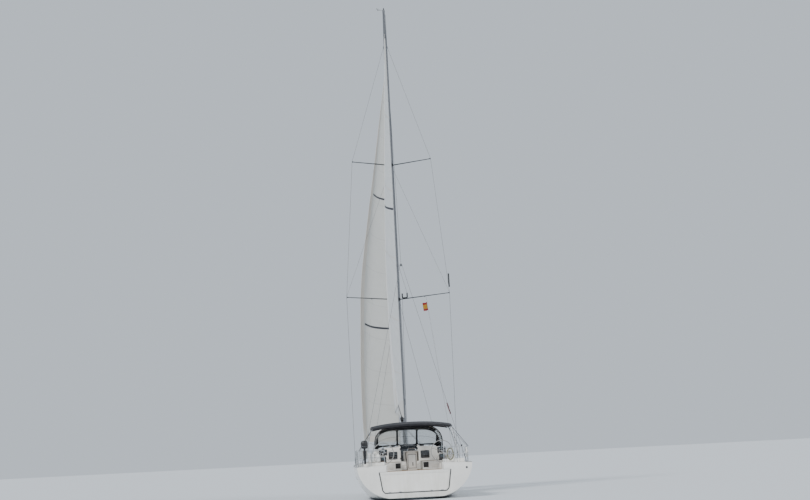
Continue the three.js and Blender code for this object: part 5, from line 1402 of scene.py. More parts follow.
mainsail = sail("mainsail_cloth", main_point, 40, 130)
main_tapes = [
    sail_strip("leech_tape", main_point, 0.985, 1.0, 0.0, 1.0),
    sail_strip("foot_tape", main_point, 0, 1, 0, 0.004),
]
for v in (0.17, 0.33, 0.49, 0.65, 0.81):
    main_tapes.append(sail_strip("batten_pocket", main_point, 0.0, 1.0, v, v + 0.0045, across=30, along=1))
main_tapes += [
    corner_patch("clew_patch", main_point, (1, 0), (-0.22, 0.09)),
    corner_patch("tack_patch", main_point, (0, 0), (0.2, 0.08)),
    corner_patch("head_patch", main_point, (0, 1), (1.0, -0.12)),
]
main_extra = join("mainsail_tapes", *main_tapes)
fit(main_extra, "boom_and_mainsail", "sailcloth", TAPE_PALE)
clew = Vector((-0.44, -4.978, 3.82))
clew_share = (GOOSENECK.y - clew.y) / (GOOSENECK.y - BOOM_END.y)
clew_foot = GOOSENECK.lerp(BOOM_END, clew_share) + Vector((0, 0, 0.09))


def sloped_main_point(u, v, lift=0.0):
    """Points of the draft stripe, which falls a little from the luff to the leech."""
    return main_point(u, v + 0.611 - 0.016 * u, lift)


stripe = sail_strip("draft_stripe", sloped_main_point, 0.01, 1.0, 0.0, 0.0045, 0.007, 0.002, 40, 1)
dark_parts = [
    stripe, tube("clew_strap", (clew_foot, clew), 0.014, 2),
    tube("clew_ring", bent(ring(clew, (0, 0.05, 0), (0, 0, 0.05), range(6)), 0.02), 0.007, 2),
    tube("outhaul", (clew, outhaul), 0.006, 2),
    block("headboard", (-0.045, 0.5, 20.72), (-0.005, 0.735, 20.9), 0.015),
]
main_dark = join("mainsail_webbing", *dark_parts)
fit(main_dark, "boom_and_mainsail", "sailcloth", TAPE_DARK)
fit(mainsail, "boom_and_mainsail", "sailcloth", MAIN_CLOTH, "mainsail")
cars = []
for i in range(19):
    z = 3.6 + 0.95 * i
    cars.append(block("car", (-0.013, 0.749, z - 0.035), (0.013, 0.772, z + 0.035), 0.006))
assemble("luff_cars", cars, "yacht", "black_plastic", BLACK)

# Genoa: an overlapping headsail of the same cloth in the furler's foil, with a strip of cream cloth
# along its leech and foot against the sun, two dark stripes, and a ring in its clew for the sheets.
GENOA_ROWS = [
    # luff z, leech z, leech x, leech y
    (2.42, 2.48, -1.83, 0.56), (4.4, 4.5, -1.85, 0.61), (6.7, 6.7, -1.79, 0.68), (9.6, 9.6, -1.62, 0.77),
    (12.3, 12.3, -1.22, 0.86), (14.9, 14.9, -0.78, 0.96), (17.3, 17.3, -0.39, 1.1), (19.3, 19.3, -0.05, 1.33),
]
GENOA_SHAPE = (0.095, 1.7)


def genoa_luff(z):
    return STAY_FOOT.lerp(STAY_TOP, (z - STAY_FOOT.z) / (STAY_TOP.z - STAY_FOOT.z))


def genoa_point(u, v, lift=0.0):
    return sail_point(GENOA_ROWS, genoa_luff, GENOA_SHAPE, 0.0258, u, v, lift)


GENOA_CLOTH = sailcloth("genoa_sailcloth", (0.73, 0.72, 0.68), (0.655, 0.645, 0.605), 0.05)
TAPE_CREAM = plain_finish("sun_strip", (0.74, 0.69, 0.62), (0.65, 0.60, 0.535), 0.8, grain=0.0012)
genoa = sail("genoa_cloth", genoa_point, 56, 140)
genoa_tapes = [
    sail_strip("luff_tape", genoa_point, 0.0, 0.012, 0.0, 1.0),
    corner_patch("clew_patch", genoa_point, (1, 0), (-0.16, 0.07)),
    corner_patch("tack_patch", genoa_point, (0, 0), (0.14, 0.07)),
    corner_patch("head_patch", genoa_point, (0, 1), (1.0, -0.1)),
]
genoa_tape = join("genoa_tapes", *genoa_tapes)
fit(genoa_tape, "yacht", "sailcloth", TAPE_PALE)
sun_strips = [
    sail_strip("leech_strip", genoa_point, 0.865, 1.0, 0.0, 1.0, lift=0.0035, across=8),
    sail_strip("foot_strip", genoa_point, 0.0, 1.0, 0.0, 0.03, lift=0.0035, across=24, along=2),
]
sun_strip = join("genoa_sun_strip", *sun_strips)
fit(sun_strip, "yacht", "sailcloth", TAPE_CREAM)
stripes = []
for v in (0.643, 0.338):
    stripes.append(sail_strip("draft_stripe", genoa_point, 0.01, 0.82, v, v + 0.0042, 0.0035, 0.001, 30, 1))
genoa_clew = Vector((-1.83, 0.56, 2.5))
clew_middle = genoa_clew + Vector((0, 0.05, 0.03))
clew_turns = [t * 0.785 for t in range(8)]
clew_ring = ring(clew_middle, (0, 0.035, 0), (0, 0, 0.035), clew_turns)
stripes.append(tube("clew_ring", clew_ring, 0.008, 2, closed=True))
stripe = join("genoa_stripes", *stripes)
fit(stripe, "yacht", "sailcloth", TAPE_DARK)
fit(genoa, "yacht", "sailcloth", GENOA_CLOTH, "genoa")

# Genoa sheets: olive braided lines through cars on a track beside the coachroof and turning blocks on
# the quarters to the winches. The port one holds the clew and the other comes round the mast, slack.
WINCH_HEAD = Vector((1.575, -5.15, 1.78))
leads = []
for label, side in SIDES:
    car = Vector((side * 1.66, -0.5, deck_z(1.66, -0.5) + 0.07))
    turning = Vector((side * 1.9, -5.5, deck_z(1.9, -5.5) + 0.06))
    drum = (side * (WINCH_HEAD.x + 0.05), WINCH_HEAD.y - 0.06, WINCH_HEAD.z)
    slack = [(-1.2, 1.7, 2.2), (-0.3, 1.75, 2.12), (0.7, 1.6, 2.1), (1.45, 0.9, 1.62)] if side > 0 else []
    leads.append(tube("sheet", [genoa_clew, *slack, car], 0.007, 2))
    leads.append(tube("sheet", bent([car, turning, drum], 0.04), 0.007, 2))
    track = [(side * 1.66, y, deck_z(1.66, y) + 0.008) for y in (-1.3, -0.9, -0.5, -0.1, 0.2)]
    fit(tube(f"genoa_track_{label}", track, 0.012, 2), "yacht", "black_plastic", BLACK)
    blocks = [sheet_block(place, Vector((0, 0, -1))) for place in (car, turning)]
    assemble(f"genoa_leads_{label}", blocks, "yacht", "black_plastic", BLACK)
fit(join("genoa_sheets", *leads), "yacht", "sailcloth", ROPE_OLIVE)

# Coiled mooring line: 12 mm braided rope in an upright coil of twelve turns, tied to the inside of the
# starboard stern rail with a short lashing.
COIL_CENTRE = Vector((1.44, -7.4573, 1.735))
COIL_HALF_WIDTH = 0.12
COIL_HALF_HEIGHT = 0.22
COIL_ROPE = 0.012
COIL_PLACES = [
    # how far out and how far forward each turn lies, in rope diameters
    (0, 0), (1, 0), (0.5, 0.87), (-0.5, 0.87), (-1, 0), (-0.5, -0.87), (0.5, -0.87), (1.5, -0.87), (2, 0),
    (1.5, 0.87), (1, 1.73), (0, 1.73), (-1, 1.73),
]
COIL_STEPS = 26


def coil_point(i):
    """A point of the coil. Each turn crosses over to the next one's place in its last quarter."""
    turn = i / COIL_STEPS
    index = min(int(turn), len(COIL_PLACES) - 2)
    ease = min(max((turn - index - 0.75) / 0.25, 0.0), 1.0)
    places = zip(COIL_PLACES[index], COIL_PLACES[index + 1])
    out, ahead = (mix(a, b, ease) * COIL_ROPE * 1.04 for a, b in places)
    angle = 2 * math.pi * turn + 1.9
    wander = math.sin(turn * 5.1)
    x = (COIL_HALF_WIDTH * (1 + 0.03 * wander) + out) * math.cos(angle)
    z = (COIL_HALF_HEIGHT + out) * math.sin(angle) - 0.0072 * wander
    return COIL_CENTRE + Vector((x, ahead, z))


coil_points = [coil_point(i) for i in range(COIL_STEPS * (len(COIL_PLACES) - 1) + 1)]
coil_length = sum((b - a).length for a, b in zip(coil_points, coil_points[1:]))
coil = cord_curve("mooring_line", coil_points, COIL_ROPE / 2)
fit(coil, "yacht", "sailcloth", ROPE_OLIVE, "coiled_line")
lashing = []
for i in range(30):
    turn = i * 0.52
    x = COIL_CENTRE.x + 0.0005 * i
    lashing.append((x, -7.478 + 0.055 * math.cos(turn), 1.985 + 0.05 * math.sin(turn)))
tie_piece = tube("mooring_line_lashing", lashing, 0.004, 1)
fit(tie_piece, "yacht", "sailcloth", ROPE_PALE)
tuple(coil_points[0])

# Flags: a courtesy flag on its halyard under the starboard spreader, with pulleys on both sides, and
# an ensign rolled round the backstay's leg and tied. Both are thin woven cloth in dyed bands.


def flag_finish(name, *bands):
    """Dyed bunting in bands along the hoist, by the piece's own UV map."""
    made, tree, shader, place = material(name)
    uv = node(tree, "UVMap").outputs[0]
    across = node(tree, "SeparateXYZ", uv).outputs[0]
    ramp = node(tree, "ValToRGB", across)
    ramp.color_ramp.interpolation = "CONSTANT"
    ramp.color_ramp.elements[0].color = (*bands[0][1], 1)
    ramp.color_ramp.elements[1].position = bands[1][0]
    ramp.color_ramp.elements[1].color = (*bands[1][1], 1)
    for position, colour in bands[2:]:
        ramp.color_ramp.elements.new(position).color = (*colour, 1)
    weave = noise(tree, place, 700.0, 2.0)
    faded = math_node(tree, "MULTIPLY", noise(tree, place, 14.0, 3.0), 0.5)
    tone = shade(tree, faded, ramp.outputs[0], (0.16, 0.05, 0.04, 1.0))
    wire(tree, shader, tone, spread(tree, weave, 0.7, 0.9), weave, 0.0006)
    return made


HALYARD_TOP = Vector((1.25, 0.647, 8.811))
HALYARD_FOOT = Vector((2.13, 0.47, 1.436))
RED, GOLD = (0.36, 0.012, 0.016), (0.62, 0.33, 0.02)
BUNTING = flag_finish("courtesy_bunting", (0.0, RED), (0.25, GOLD), (0.75, RED))


def flag_place(u, v):
    hoist = HALYARD_TOP.lerp(HALYARD_FOOT, mix(0.035, 0.085, u))
    flutter = 0.016 * math.sin(6 * v) * (0.6 + 0.4 * u)
    return hoist + Vector((-0.005 - 0.2 * v, flutter, -0.06 * v - 0.012 * math.sin(5 * v)))


courtesy = thicken(surface("courtesy_bunting", flag_place, 24, 40), 0.0015)
fit(courtesy, "yacht", "flag_red", BUNTING, "courtesy_flag")
lines = [
    tube("halyard", (HALYARD_TOP, HALYARD_FOOT), 0.004, 1),
    tube("halyard", (HALYARD_TOP + Vector((0.02, 0, 0)), HALYARD_FOOT + Vector((0.02, 0.03, 0))), 0.003, 1),
    tube("halyard", ((-1.15, 0.647, 8.81), (-2.13, 0.47, 1.44)), 0.003, 1),
    tube("hoist", [HALYARD_TOP.lerp(HALYARD_FOOT, t) for t in (0.034, 0.086)], 0.008, 2),
]
fit(join("flag_lines", *lines), "yacht", "sailcloth", ROPE_PALE, "flag_halyard")
pulleys = [sheet_block(Vector((side * 1.2, 0.647, 8.79)), Vector((0, 0, 1)), 0.02) for side in (-1, 1)]
reflector_top = Vector((2.305, 0.4566, 9.78))
reflector_foot = reflector_top + Vector((0.008, 0, -0.62))
reflector = [reflector_top.lerp(reflector_foot, t) for t in (0, 0.03, 0.06, 0.94, 0.97, 1)]
pulleys.append(tube("reflector", reflector, 0.0355, 5, tapers=(0.6, 1, 0.93, 0.93, 1, 0.6)))
for t in (0.08, 0.9):
    at = reflector_top.lerp(reflector_foot, t)
    pulleys.append(tube("clip", (at, at + Vector((0, -0.035, 0))), 0.012, 2))
assemble("reflector_and_blocks", pulleys, "yacht", "black_plastic", BLACK, "radar_reflector")


def leg_at(z):
    return BRIDLE.lerp(BACKSTAY_FOOT, (BRIDLE.z - z) / (BRIDLE.z - BACKSTAY_FOOT.z))


DARK_REDS = ((0.0, (0.11, 0.008, 0.016)), (0.55, (0.09, 0.007, 0.014)), (0.8, (0.13, 0.01, 0.02)))
ENSIGN_CLOTH = flag_finish("ensign_bunting", *DARK_REDS)


def ensign_place(u, v):
    centre = leg_at(mix(3.335, 3.795, v)) + Vector((0, 0.0427, 0))
    turn = 2 * math.pi * u * 2.5
    fold = 1 + 0.14 * math.sin(3 * turn + 9 * v) + 0.06 * math.sin(7 * turn)
    radius = mix(0.029, 0.014, u) * fold * (0.7 + 0.3 * math.sin(math.pi * min(max(v, 0.0), 1.0)) ** 0.4)
    return centre + Vector((radius * math.cos(turn), radius * math.sin(turn), 0.01 * math.sin(turn)))


ensign = smooth(thicken(surface("ensign_roll", ensign_place, 110, 26), 0.001), 60)
fit(ensign, "yacht", "flag_red", ENSIGN_CLOTH, "ensign")
ties = []
for z in (3.42, 3.57, 3.71):
    middle = leg_at(z) + Vector((0, 0.0327, 0))
    turns = [i * math.pi / 5 for i in range(10)]
    ties.append(tube("tie", ring(middle, (0.031, 0, 0), (0, 0.031, 0), turns), 0.004, 1, closed=True))
tie = join("ensign_ties", *ties)
fit(tie, "yacht", "sailcloth", ROPE_PALE)

# Bimini: charcoal acrylic canvas stretched over three stainless bows on hinged feet, with straps and
# braces to the rails, seams over the bows, bound edges and a short valance at each end.
BIMINI_AFT = -6.6
BIMINI_FRONT = -4.48
BIMINI_HALF = 1.64
BIMINI_EDGE_Z = 2.975
BIMINI_ARCH = 0.11
VALANCE = 0.06
BIMINI_FOOT = Vector((1.95, -5.65, 0))
BOW_YS = (BIMINI_AFT + 0.04, -5.5, BIMINI_FRONT - 0.04)


def bimini_z(x, y, drop=0.0):
    along = (y - BIMINI_AFT) / (BIMINI_FRONT - BIMINI_AFT)
    crown = 0.145 * (1 - min(abs(x) / BIMINI_HALF, 1.0) ** 2.4)
    return BIMINI_EDGE_Z + crown - BIMINI_ARCH * (2 * along - 1) ** 2 - drop


def canopy_place(u, v):
    x = mix(-BIMINI_HALF, BIMINI_HALF, u)
    y = mix(BIMINI_AFT, BIMINI_FRONT, v)
    sag = min(abs(y - bow) for bow in BOW_YS)
    edge = max(abs(2 * u - 1), abs(2 * v - 1))
    hem = 0.012 * max(edge - 0.97, 0) / 0.03
    pucker = 0.002 * math.sin(40 * x) * max(abs(2 * v - 1) - 0.9, 0) * 10
    return Vector((x, y, bimini_z(x, y) - 0.02 * min(sag / 0.5, 1.0) ** 2 - hem + pucker))


def canvas_finish():
    """Woven acrylic canvas: a fine basket weave, cloudy in tone, with dust and light creases."""
    made, tree, shader, place = material("charcoal_canvas")
    threads = [
        node(tree, "TexWave", Vector=place, Scale=160.0, Distortion=0.4, bands_direction=axis).outputs["Fac"]
        for axis in "XY"
    ]
    weave = math_node(tree, "MULTIPLY", *threads)
    cloud = noise(tree, place, 2.2, 6.0)
    mask, fine = use(tree, WEATHER, Place=place, Amount=0.8)
    tone = shade(tree, cloud, (0.016, 0.016, 0.021, 1), (0.028, 0.029, 0.035, 1))
    tone = shade(tree, mask, tone, (0.065, 0.064, 0.066, 1))
    height = math_node(tree, "MULTIPLY", weave, 0.25)
    height = math_node(tree, "ADD", height, math_node(tree, "MULTIPLY", cloud, 3.0))
    wire(tree, shader, tone, spread(tree, fine, 0.8, 0.95), height, 0.002, 0.6)
    return made


CANVAS = canvas_finish()
HEM = plain_finish("canvas_binding", (0.012, 0.012, 0.016), (0.04, 0.04, 0.044), 0.85, grain=0.0012)
canopy = thicken(surface("bimini_canvas", canopy_place, 90, 60), 0.003)
around = [(i / 24, 0) for i in range(25)] + [(1, i / 16) for i in range(1, 17)]
around += [(1 - i / 24, 1) for i in range(1, 25)] + [(0, 1 - i / 16) for i in range(1, 16)]
bindings = [tube("binding", [canopy_place(u, v) for u, v in around], 0.006, 2, closed=True)]
for y in BOW_YS:
    for seam_y in (y - 0.028, y + 0.028):
        if BIMINI_AFT < seam_y < BIMINI_FRONT:
            xs = [mix(-1.62, 1.62, i / 40) for i in range(41)]
            bindings.append(tube("seam", [(x, seam_y, bimini_z(x, y) + 0.001) for x in xs], 0.003, 1))
for end in (0, 1):
    def valance_place(u, v):
        return canopy_place(mix(0.02, 0.98, u), end) - Vector((0, 0, VALANCE * v))

    bindings.append(thicken(surface("valance", valance_place, 44, 3), 0.003))
binding = join("bimini_binding", *bindings)
fit(binding, "yacht", "canvas", HEM)
fit(smooth(canopy, 60), "yacht", "canvas", CANVAS, "bimini_canopy")
BIMINI_FOOT_Z = deck_z(BIMINI_FOOT.x, BIMINI_FOOT.y)


def bimini_bow(y):
    """One bow: over the canopy's underside from the port foot to the starboard foot."""
    across = [share * BIMINI_HALF for share in (-0.96, -0.8, -0.5, 0, 0.5, 0.8, 0.96)]
    route = [(x, y, bimini_z(x, y, 0.023)) for x in across]
    knee_y = mix(y, BIMINI_FOOT.y, 0.12)
    for side in (-1, 1):
        knee = (side * (BIMINI_HALF + 0.015), knee_y, BIMINI_EDGE_Z - 0.17)
        foot = (side * BIMINI_FOOT.x, BIMINI_FOOT.y, BIMINI_FOOT_Z + 0.06)
        route = [foot, knee] + route if side < 0 else route + [knee, foot]
    return tube("bow", bent(route, 0.09), 0.0125, 3)


frame_parts = [bimini_bow(y) for y in BOW_YS]
straps = []
y, z = BIMINI_FOOT.y, BIMINI_FOOT_Z
for side in (-1, 1):
    x = side * BIMINI_FOOT.x
    frame_parts += [
        block("foot", (x - 0.03, y - 0.04, z - 0.004), (x + 0.03, y + 0.04, z + 0.012), 0.003),
        block("jaw", (x - 0.018, y - 0.03, z), (x + 0.018, y + 0.03, z + 0.085), 0.008),
        tube("brace", ((side * 2.16, -7.3, 2.012), (side * 1.71, -6.25, 2.6)), 0.008, 2),
    ]
    for canopy_y, rail in ((BIMINI_FRONT - 0.04, (2.17, -2.9, 1.99)), (BIMINI_AFT + 0.04, (2.2, -7.2, 2.01))):
        ends = (side * 1.6, canopy_y, 2.85), (side * rail[0], *rail[1:])
        straps.append(tube("strap", ends, 0.009, 1))
assemble("bimini_bows", frame_parts, "yacht", "steel", STEEL, "bimini_frame")
fit(join("bimini_straps", *straps), "yacht", "canvas", HEM)

# Sprayhood: charcoal canvas on two stainless bows over the companionway, with three clear vinyl
# windows in its front and one in each side, bound edges and seams.
HOOD_ROWS = [
    # y, half width, height of the crown
    (-1.06, 1.26, 2.19), (-1.35, 1.34, 2.56), (-1.7, 1.4, 2.86), (-2.15, 1.44, 2.985), (-2.78, 1.455, 3.02),
]
HOOD_BASE = 2.08


def hood_point(u, v, grow=0.0):
    y, half, top = between(HOOD_ROWS, v, held=True)
    turn = math.pi * u
    x = -half * math.copysign(abs(math.cos(turn)) ** 0.55, math.cos(turn))
    place = Vector((x, y, HOOD_BASE + (top - HOOD_BASE) * math.sin(turn) ** 0.7))
    return place + (place - Vector((0, y + 0.4, HOOD_BASE))).normalized() * grow


def clear_finish():
    """Clear vinyl, slightly grey and scratched."""
    made, tree, shader, place = material("clear_vinyl", transmission=0.92, ior=1.4)
    scratch = noise(tree, place, 30.0, 5.0)
    tone = shade(tree, scratch, (0.80, 0.84, 0.85, 1), (0.88, 0.90, 0.90, 1))
    wire(tree, shader, tone, spread(tree, scratch, 0.03, 0.14), scratch, 0.0004)
    return made


VINYL = clear_finish()
HOOD_PANES = [
    # low x, high x, low y, high y, low z, high z, and whether it is on both sides
    (-0.385, 0.385, -1.7, -0.9, 2.23, 2.84, False),
    (0.465, 1.25, -1.69, -0.9, 2.23, 2.83, True),
    (1.2, 1.6, -2.64, -1.79, 2.24, 2.76, True),
]


def pane_blocks(grow):
    made = []
    for x0, x1, y0, y1, z0, z1, mirrored in HOOD_PANES:
        for side in (1, -1) if mirrored else (1,):
            low, high = sorted((side * (x0 - grow), side * (x1 + grow)))
            made.append(block("pane", (low, y0 - grow, z0 - grow), (high, y1 + grow, z1 + grow), 0.06, 3))
    return made


def hood_shell(name, grow, thickness):
    return thicken(surface(name, lambda u, v: hood_point(u, v, grow), 120, 60), thickness)


def hood_bow(v, radius, grow):
    """A tube that follows the hood across, above the roof."""
    points = [hood_point(mix(0.035, 0.965, i / 60), v, grow) for i in range(61)]
    points = [p for p in points if p.z > roof_z(p.x, max(p.y, -2.55)) + 0.005]
    return tube("bow", points, radius, 2)


hood = hood_shell("sprayhood_canvas", 0.0, 0.003)
carve(hood, roof_body("roof_room", 0.0004, 1.0), *pane_blocks(0.0))
panes = hood_shell("sprayhood_panes", -0.004, 0.0015)
carve(panes, join("pane_room", *pane_blocks(0.02)), operation="INTERSECT")
carve(panes, roof_body("roof_room", 0.0004, 1.0))
fit(smooth(panes, 60), "yacht", "smoked", VINYL)
seams = [hood_bow(1.0, 0.014, 0.006), hood_bow(0.0, 0.008, 0.004)]
seams += [hood_bow(v, 0.004, 0.004) for v in (0.5, 0.25)]
hood_binding = assemble("sprayhood_binding", seams, "yacht", "canvas", HEM)
bows = [hood_bow(v, 0.0115, -0.018) for v in (0.98, 0.52)]
assemble("sprayhood_bows", bows, "yacht", "steel", STEEL)
fit(smooth(hood, 60), "yacht", "canvas", CANVAS, "sprayhood")

# Stern and bow rails: polished stainless tube, welded, on round base plates. The stern rail is in two
# halves beside the transom door, and the bow rail goes round the stemhead.
RAIL = 0.0125
MIDDLE_RAIL = 0.0095


def base_plate(x, y):
    z = deck_z(x, y)
    route = [(x, y, z + h) for h in (-0.004, 0.0, 0.008, 0.02)]
    return tube("plate", route, 0.034, 3, tapers=(1, 1, 0.8, 0.4))


PUSHPIT_POSTS = [(1.18, -7.5), (1.7, -7.5), (2.15, -7.34), (2.218, -6.5), (2.225, -5.9)]
PUSHPIT_ROUTE = [(1.18, -7.5), (1.7, -7.5), (2.08, -7.44), (2.2, -7.23), (2.215, -6.7), (2.225, -5.9)]
for label, side in SIDES:
    parts = []
    for z, radius in ((2.01, RAIL), (1.74, MIDDLE_RAIL)):
        route = bent([(side * x, y, z) for x, y in PUSHPIT_ROUTE], 0.12)
        parts.append(tube("rail", route, radius, 3))
    for x, y in PUSHPIT_POSTS:
        parts.append(tube("post", ((side * x, y, deck_z(x, y)), (side * x, y, 2.01)), RAIL, 3))
        parts.append(base_plate(side * x, y))
    for x, y in (PUSHPIT_POSTS[0], PUSHPIT_POSTS[-1]):
        elbow = [(side * x, y, z) for z in (1.995, 2.012, 2.022)]
        parts.append(tube("elbow", elbow, 0.0145, 3, tapers=(1, 1, 0.6)))
    assemble(f"stern_rail_{label}", parts, "yacht", "steel", STEEL, f"pushpit_{label}")
half_bow = sheer_row(6.75)[2] - 0.05
bow_route = [(-half_bow, 6.75, 2.29), (-0.33, 7.4, 2.31), (-0.17, 7.8, 2.32), (0, 7.9, 2.32)]
bow_route += [(-x, y, z) for x, y, z in bow_route[-2::-1]]
pulpit = [tube("rail", bent(bow_route, 0.16), RAIL, 3)]
for side in (-1, 1):
    for y, top in ((6.75, (half_bow, 6.75, 2.3)), (7.33, (0.345, 7.39, 2.3))):
        x = side * (sheer_row(y)[2] - 0.06)
        pulpit.append(tube("post", ((x, y, deck_z(x, y)), (side * top[0], *top[1:])), RAIL, 3))
        pulpit.append(base_plate(x, y))
    lower = ((side * half_bow, 6.75, 2.0), (side * 0.39, 7.37, 2.02))
    pulpit.append(tube("mid_rail", lower, MIDDLE_RAIL, 2))
assemble("bow_rail", pulpit, "yacht", "steel", STEEL, "pulpit")

# Lifelines: two steel wires down each side through the eyes of tapered stanchions, with a tensioning
# screw at each end.
STANCHION_YS = (-4.5, -2.9, -1.2, 0.7, 2.5, 4.1, 5.5)
for label, side in SIDES:
    feet = []
    for y in STANCHION_YS:
        x = side * (sheer_row(y)[2] - 0.11)
        feet.append(Vector((x, y, deck_z(x, y))))
    parts = []
    for height, start_z, end_z in ((0.64, 2.0, 2.24), (0.34, 1.74, 2.0)):
        run = [Vector((side * 2.225, -5.886, start_z))] + [foot + Vector((0, 0, height)) for foot in feet]
        run.append(Vector((side * half_bow, 6.725, end_z)))
        parts.append(tube("wire", run, 0.004, 1))
        for a, b in ((run[0], run[1]), (run[-1], run[-2])):
            route = [a.lerp(b, t / (b - a).length) for t in (0, 0.03, 0.05, 0.16, 0.18, 0.24)]
            parts.append(tube("screw", route, 0.007, 1, tapers=(0.7, 0.7, 1, 1, 0.7, 0.6)))
    for foot in feet:
        tall = [foot + Vector((0, 0, h)) for h in (0, 0.62, 0.645, 0.65)]
        parts += [tube("stanchion", tall, 0.012, 3, tapers=(1, 0.95, 0.95, 0.5)), base_plate(foot.x, foot.y)]
        for height in (0.34, 0.64):
            eye = [foot + Vector((0, y, height)) for y in (-0.012, 0.012)]
            parts.append(tube("eye", eye, 0.0135, 2))
    assemble(f"guard_wires_{label}", parts, "yacht", "steel", STEEL, f"lifelines_{label}")

# Small black fittings: lamp housings on the bow rail and the stern rail, the clip and hook of the gate
# in the stern rail, and an outlet in the starboard side of the transom.
hook = bent([(-1.18, -7.515, 1.88), (-1.18, -7.56, 1.86), (-1.18, -7.57, 1.8)], 0.02)
outlet = [(2.06, TRANSOM_Y + y, 1.18) for y in (0.01, -0.004, -0.006)]
stern_bits = [
    block("bow_lamp", (-0.04, 7.87, 2.335), (0.04, 7.93, 2.4), 0.015),
    block("lamp", (1.88, -7.5, 2.015), (1.94, -7.44, 2.09), 0.012),
    block("gate_clip", (-1.2, -7.53, 1.8), (-1.16, -7.48, 1.9), 0.01),
    tube("hook", hook, 0.006, 2), tube("outlet", outlet, 0.042, 5, tapers=(1, 1, 0.85)),
]
assemble("stern_fittings", stern_bits, "yacht", "black_plastic", BLACK)

# Helms: two moulded pedestals with black instrument pods and a compass, stainless wheels with leather
# stitched round the rim, and moulded seats, topped with teak to port and non-slip to starboard.
WHEEL_X = 1.19
WHEEL_Y = -6.12
WHEEL_Z = 1.87
WHEEL_RADIUS = 0.43


def leather_finish():
    """Pale grey leather sewn round the rim, with a fine pebbled grain."""
    made, tree, shader, place = material("rim_leather")
    pebble = node(tree, "TexVoronoi", Vector=place, Scale=420.0).outputs["Distance"]
    mask, fine = use(tree, WEATHER, Place=place, Amount=0.7)
    tone = shade(tree, mask, (0.36, 0.36, 0.355, 1), (0.24, 0.235, 0.225, 1))
    wire(tree, shader, tone, spread(tree, fine, 0.5, 0.75), pebble, 0.0006)
    return made


LEATHER = leather_finish()
SCREEN = glass_finish("instrument_glass", (0.02, 0.03, 0.035), 0.1)
DOME = (0, 0.3, 0.7, 1.1, 1.4, 1.57)
SPOKE_ROWS = [
    # distance from the axle, and how far forward
    (0.03, 0.012), (0.1, 0.008), (0.3, 0), (0.425, 0),
]
pods = []
glasses = []


def circle(steps):
    return [2 * math.pi * i / steps for i in range(steps)]


for label, side in SIDES:
    x = side * WHEEL_X
    pedestal = f"helm_pedestal_{label}"
    fit(skin(pedestal, f"pedestal_{label}", 0.03, steps=4), "yacht", "gelcoat", GELCOAT, pedestal)
    lever = ((x + side * 0.1, -5.95, 1.72), (x + side * 0.15, -5.95, 1.72))
    pods += [
        block("pod", (x - 0.17, -6.082, 1.79), (x + 0.17, -5.835, 2.045), 0.035, 3),
        block("panel", (x - 0.12, -6.09, 1.5), (x + 0.12, -6.03, 1.765), 0.014),
        tube("compass_base", [(x, -5.9, z) for z in (2.03, 2.04, 2.05)], 0.062, 5, tapers=(1.1, 1, 0.95)),
        tube("throttle", lever, 0.02, 4),
    ]
    dome = [(x, -5.9, 2.045 + 0.055 * math.sin(turn)) for turn in DOME]
    glasses.append(tube("compass", dome, 0.055, 5, tapers=[max(math.cos(turn), 0.05) for turn in DOME]))
    for step in (-0.065, 0.065):
        low, high = (x + step - 0.055, -6.086, 1.95), (x + step + 0.055, -6.078, 2.025)
        glasses.append(block("display", low, high, 0.003, 1))
    glasses.append(block("display", (x - 0.07, -6.094, 1.62), (x + 0.07, -6.086, 1.74), 0.003, 1))
    centre = Vector((x, WHEEL_Y, WHEEL_Z))
    rim = ring(centre, (WHEEL_RADIUS, 0, 0), (0, 0, WHEEL_RADIUS), circle(96))
    rim = named(tube("rim", rim, 0.0155, 4, closed=True), f"wheel_rim_{label}")
    fit(smooth(rim), f"wheel_{label}", "steel", LEATHER)
    lacing = []
    for turn in circle(120):
        out = Vector((math.cos(turn), 0, math.sin(turn)))
        at = centre + out * (WHEEL_RADIUS - 0.0155)
        skew = Vector((-0.005 * math.sin(turn), 0.003, 0.005 * math.cos(turn)))
        lacing.append(tube("stitch", (at - skew, at + skew), 0.0011, 1))
    fit(join(f"wheel_stitches_{label}", *lacing), f"wheel_{label}", "sailcloth", ROPE_PALE)
    spokes = []
    for i in range(5):
        turn = i / 5 * 2 * math.pi + math.pi / 2
        out = Vector((math.cos(turn), 0, math.sin(turn)))
        arm = [centre + out * r + Vector((0, h, 0)) for r, h in SPOKE_ROWS]
        spokes.append(tube("spoke", arm, 0.009, 3, tapers=(1.25, 1, 0.8, 0.8)))
        spokes.append(tube("collar", [centre + out * r for r in (0.403, 0.421)], 0.013, 3))
    hub = [centre + Vector((0, h, 0)) for h in (-0.03, -0.025, -0.012, 0.0, 0.03, 0.0415)]
    spokes.append(tube("hub", hub, 0.046, 6, tapers=(0.45, 0.62, 0.85, 1, 1, 0.8)))
    hub_ring = ring(centre + Vector((0, 0.006, 0)), (0.115, 0, 0), (0, 0, 0.115), circle(40))
    spokes.append(tube("ring", hub_ring, 0.005, 2, closed=True))
    wheel = f"steering_wheel_{label}"
    assemble(f"wheel_spokes_{label}", spokes, f"wheel_{label}", "steel", STEEL, wheel)
    low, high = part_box(f"helm_seat_{label}")
    seat = skin(f"helm_seat_{label}", f"seat_{label}", 0.02, steps=3)
    fit(seat, "yacht", "gelcoat", GELCOAT, f"helm_seat_{label}")
    slot, finish, thick = ("teak", TEAK_LENGTHWAYS, 0.01) if side < 0 else ("gelcoat", NONSLIP, 0.004)
    low, high = (low.x + 0.03, low.y + 0.03, high.z - 0.004), (high.x - 0.03, high.y - 0.03, high.z + thick)
    fit(smooth(block(f"seat_top_{label}", low, high, 0.004)), "yacht", slot, finish)
assemble("instrument_pods", pods, "yacht", "black_plastic", BLACK)
assemble("instrument_glass", glasses, "yacht", "smoked", SCREEN)

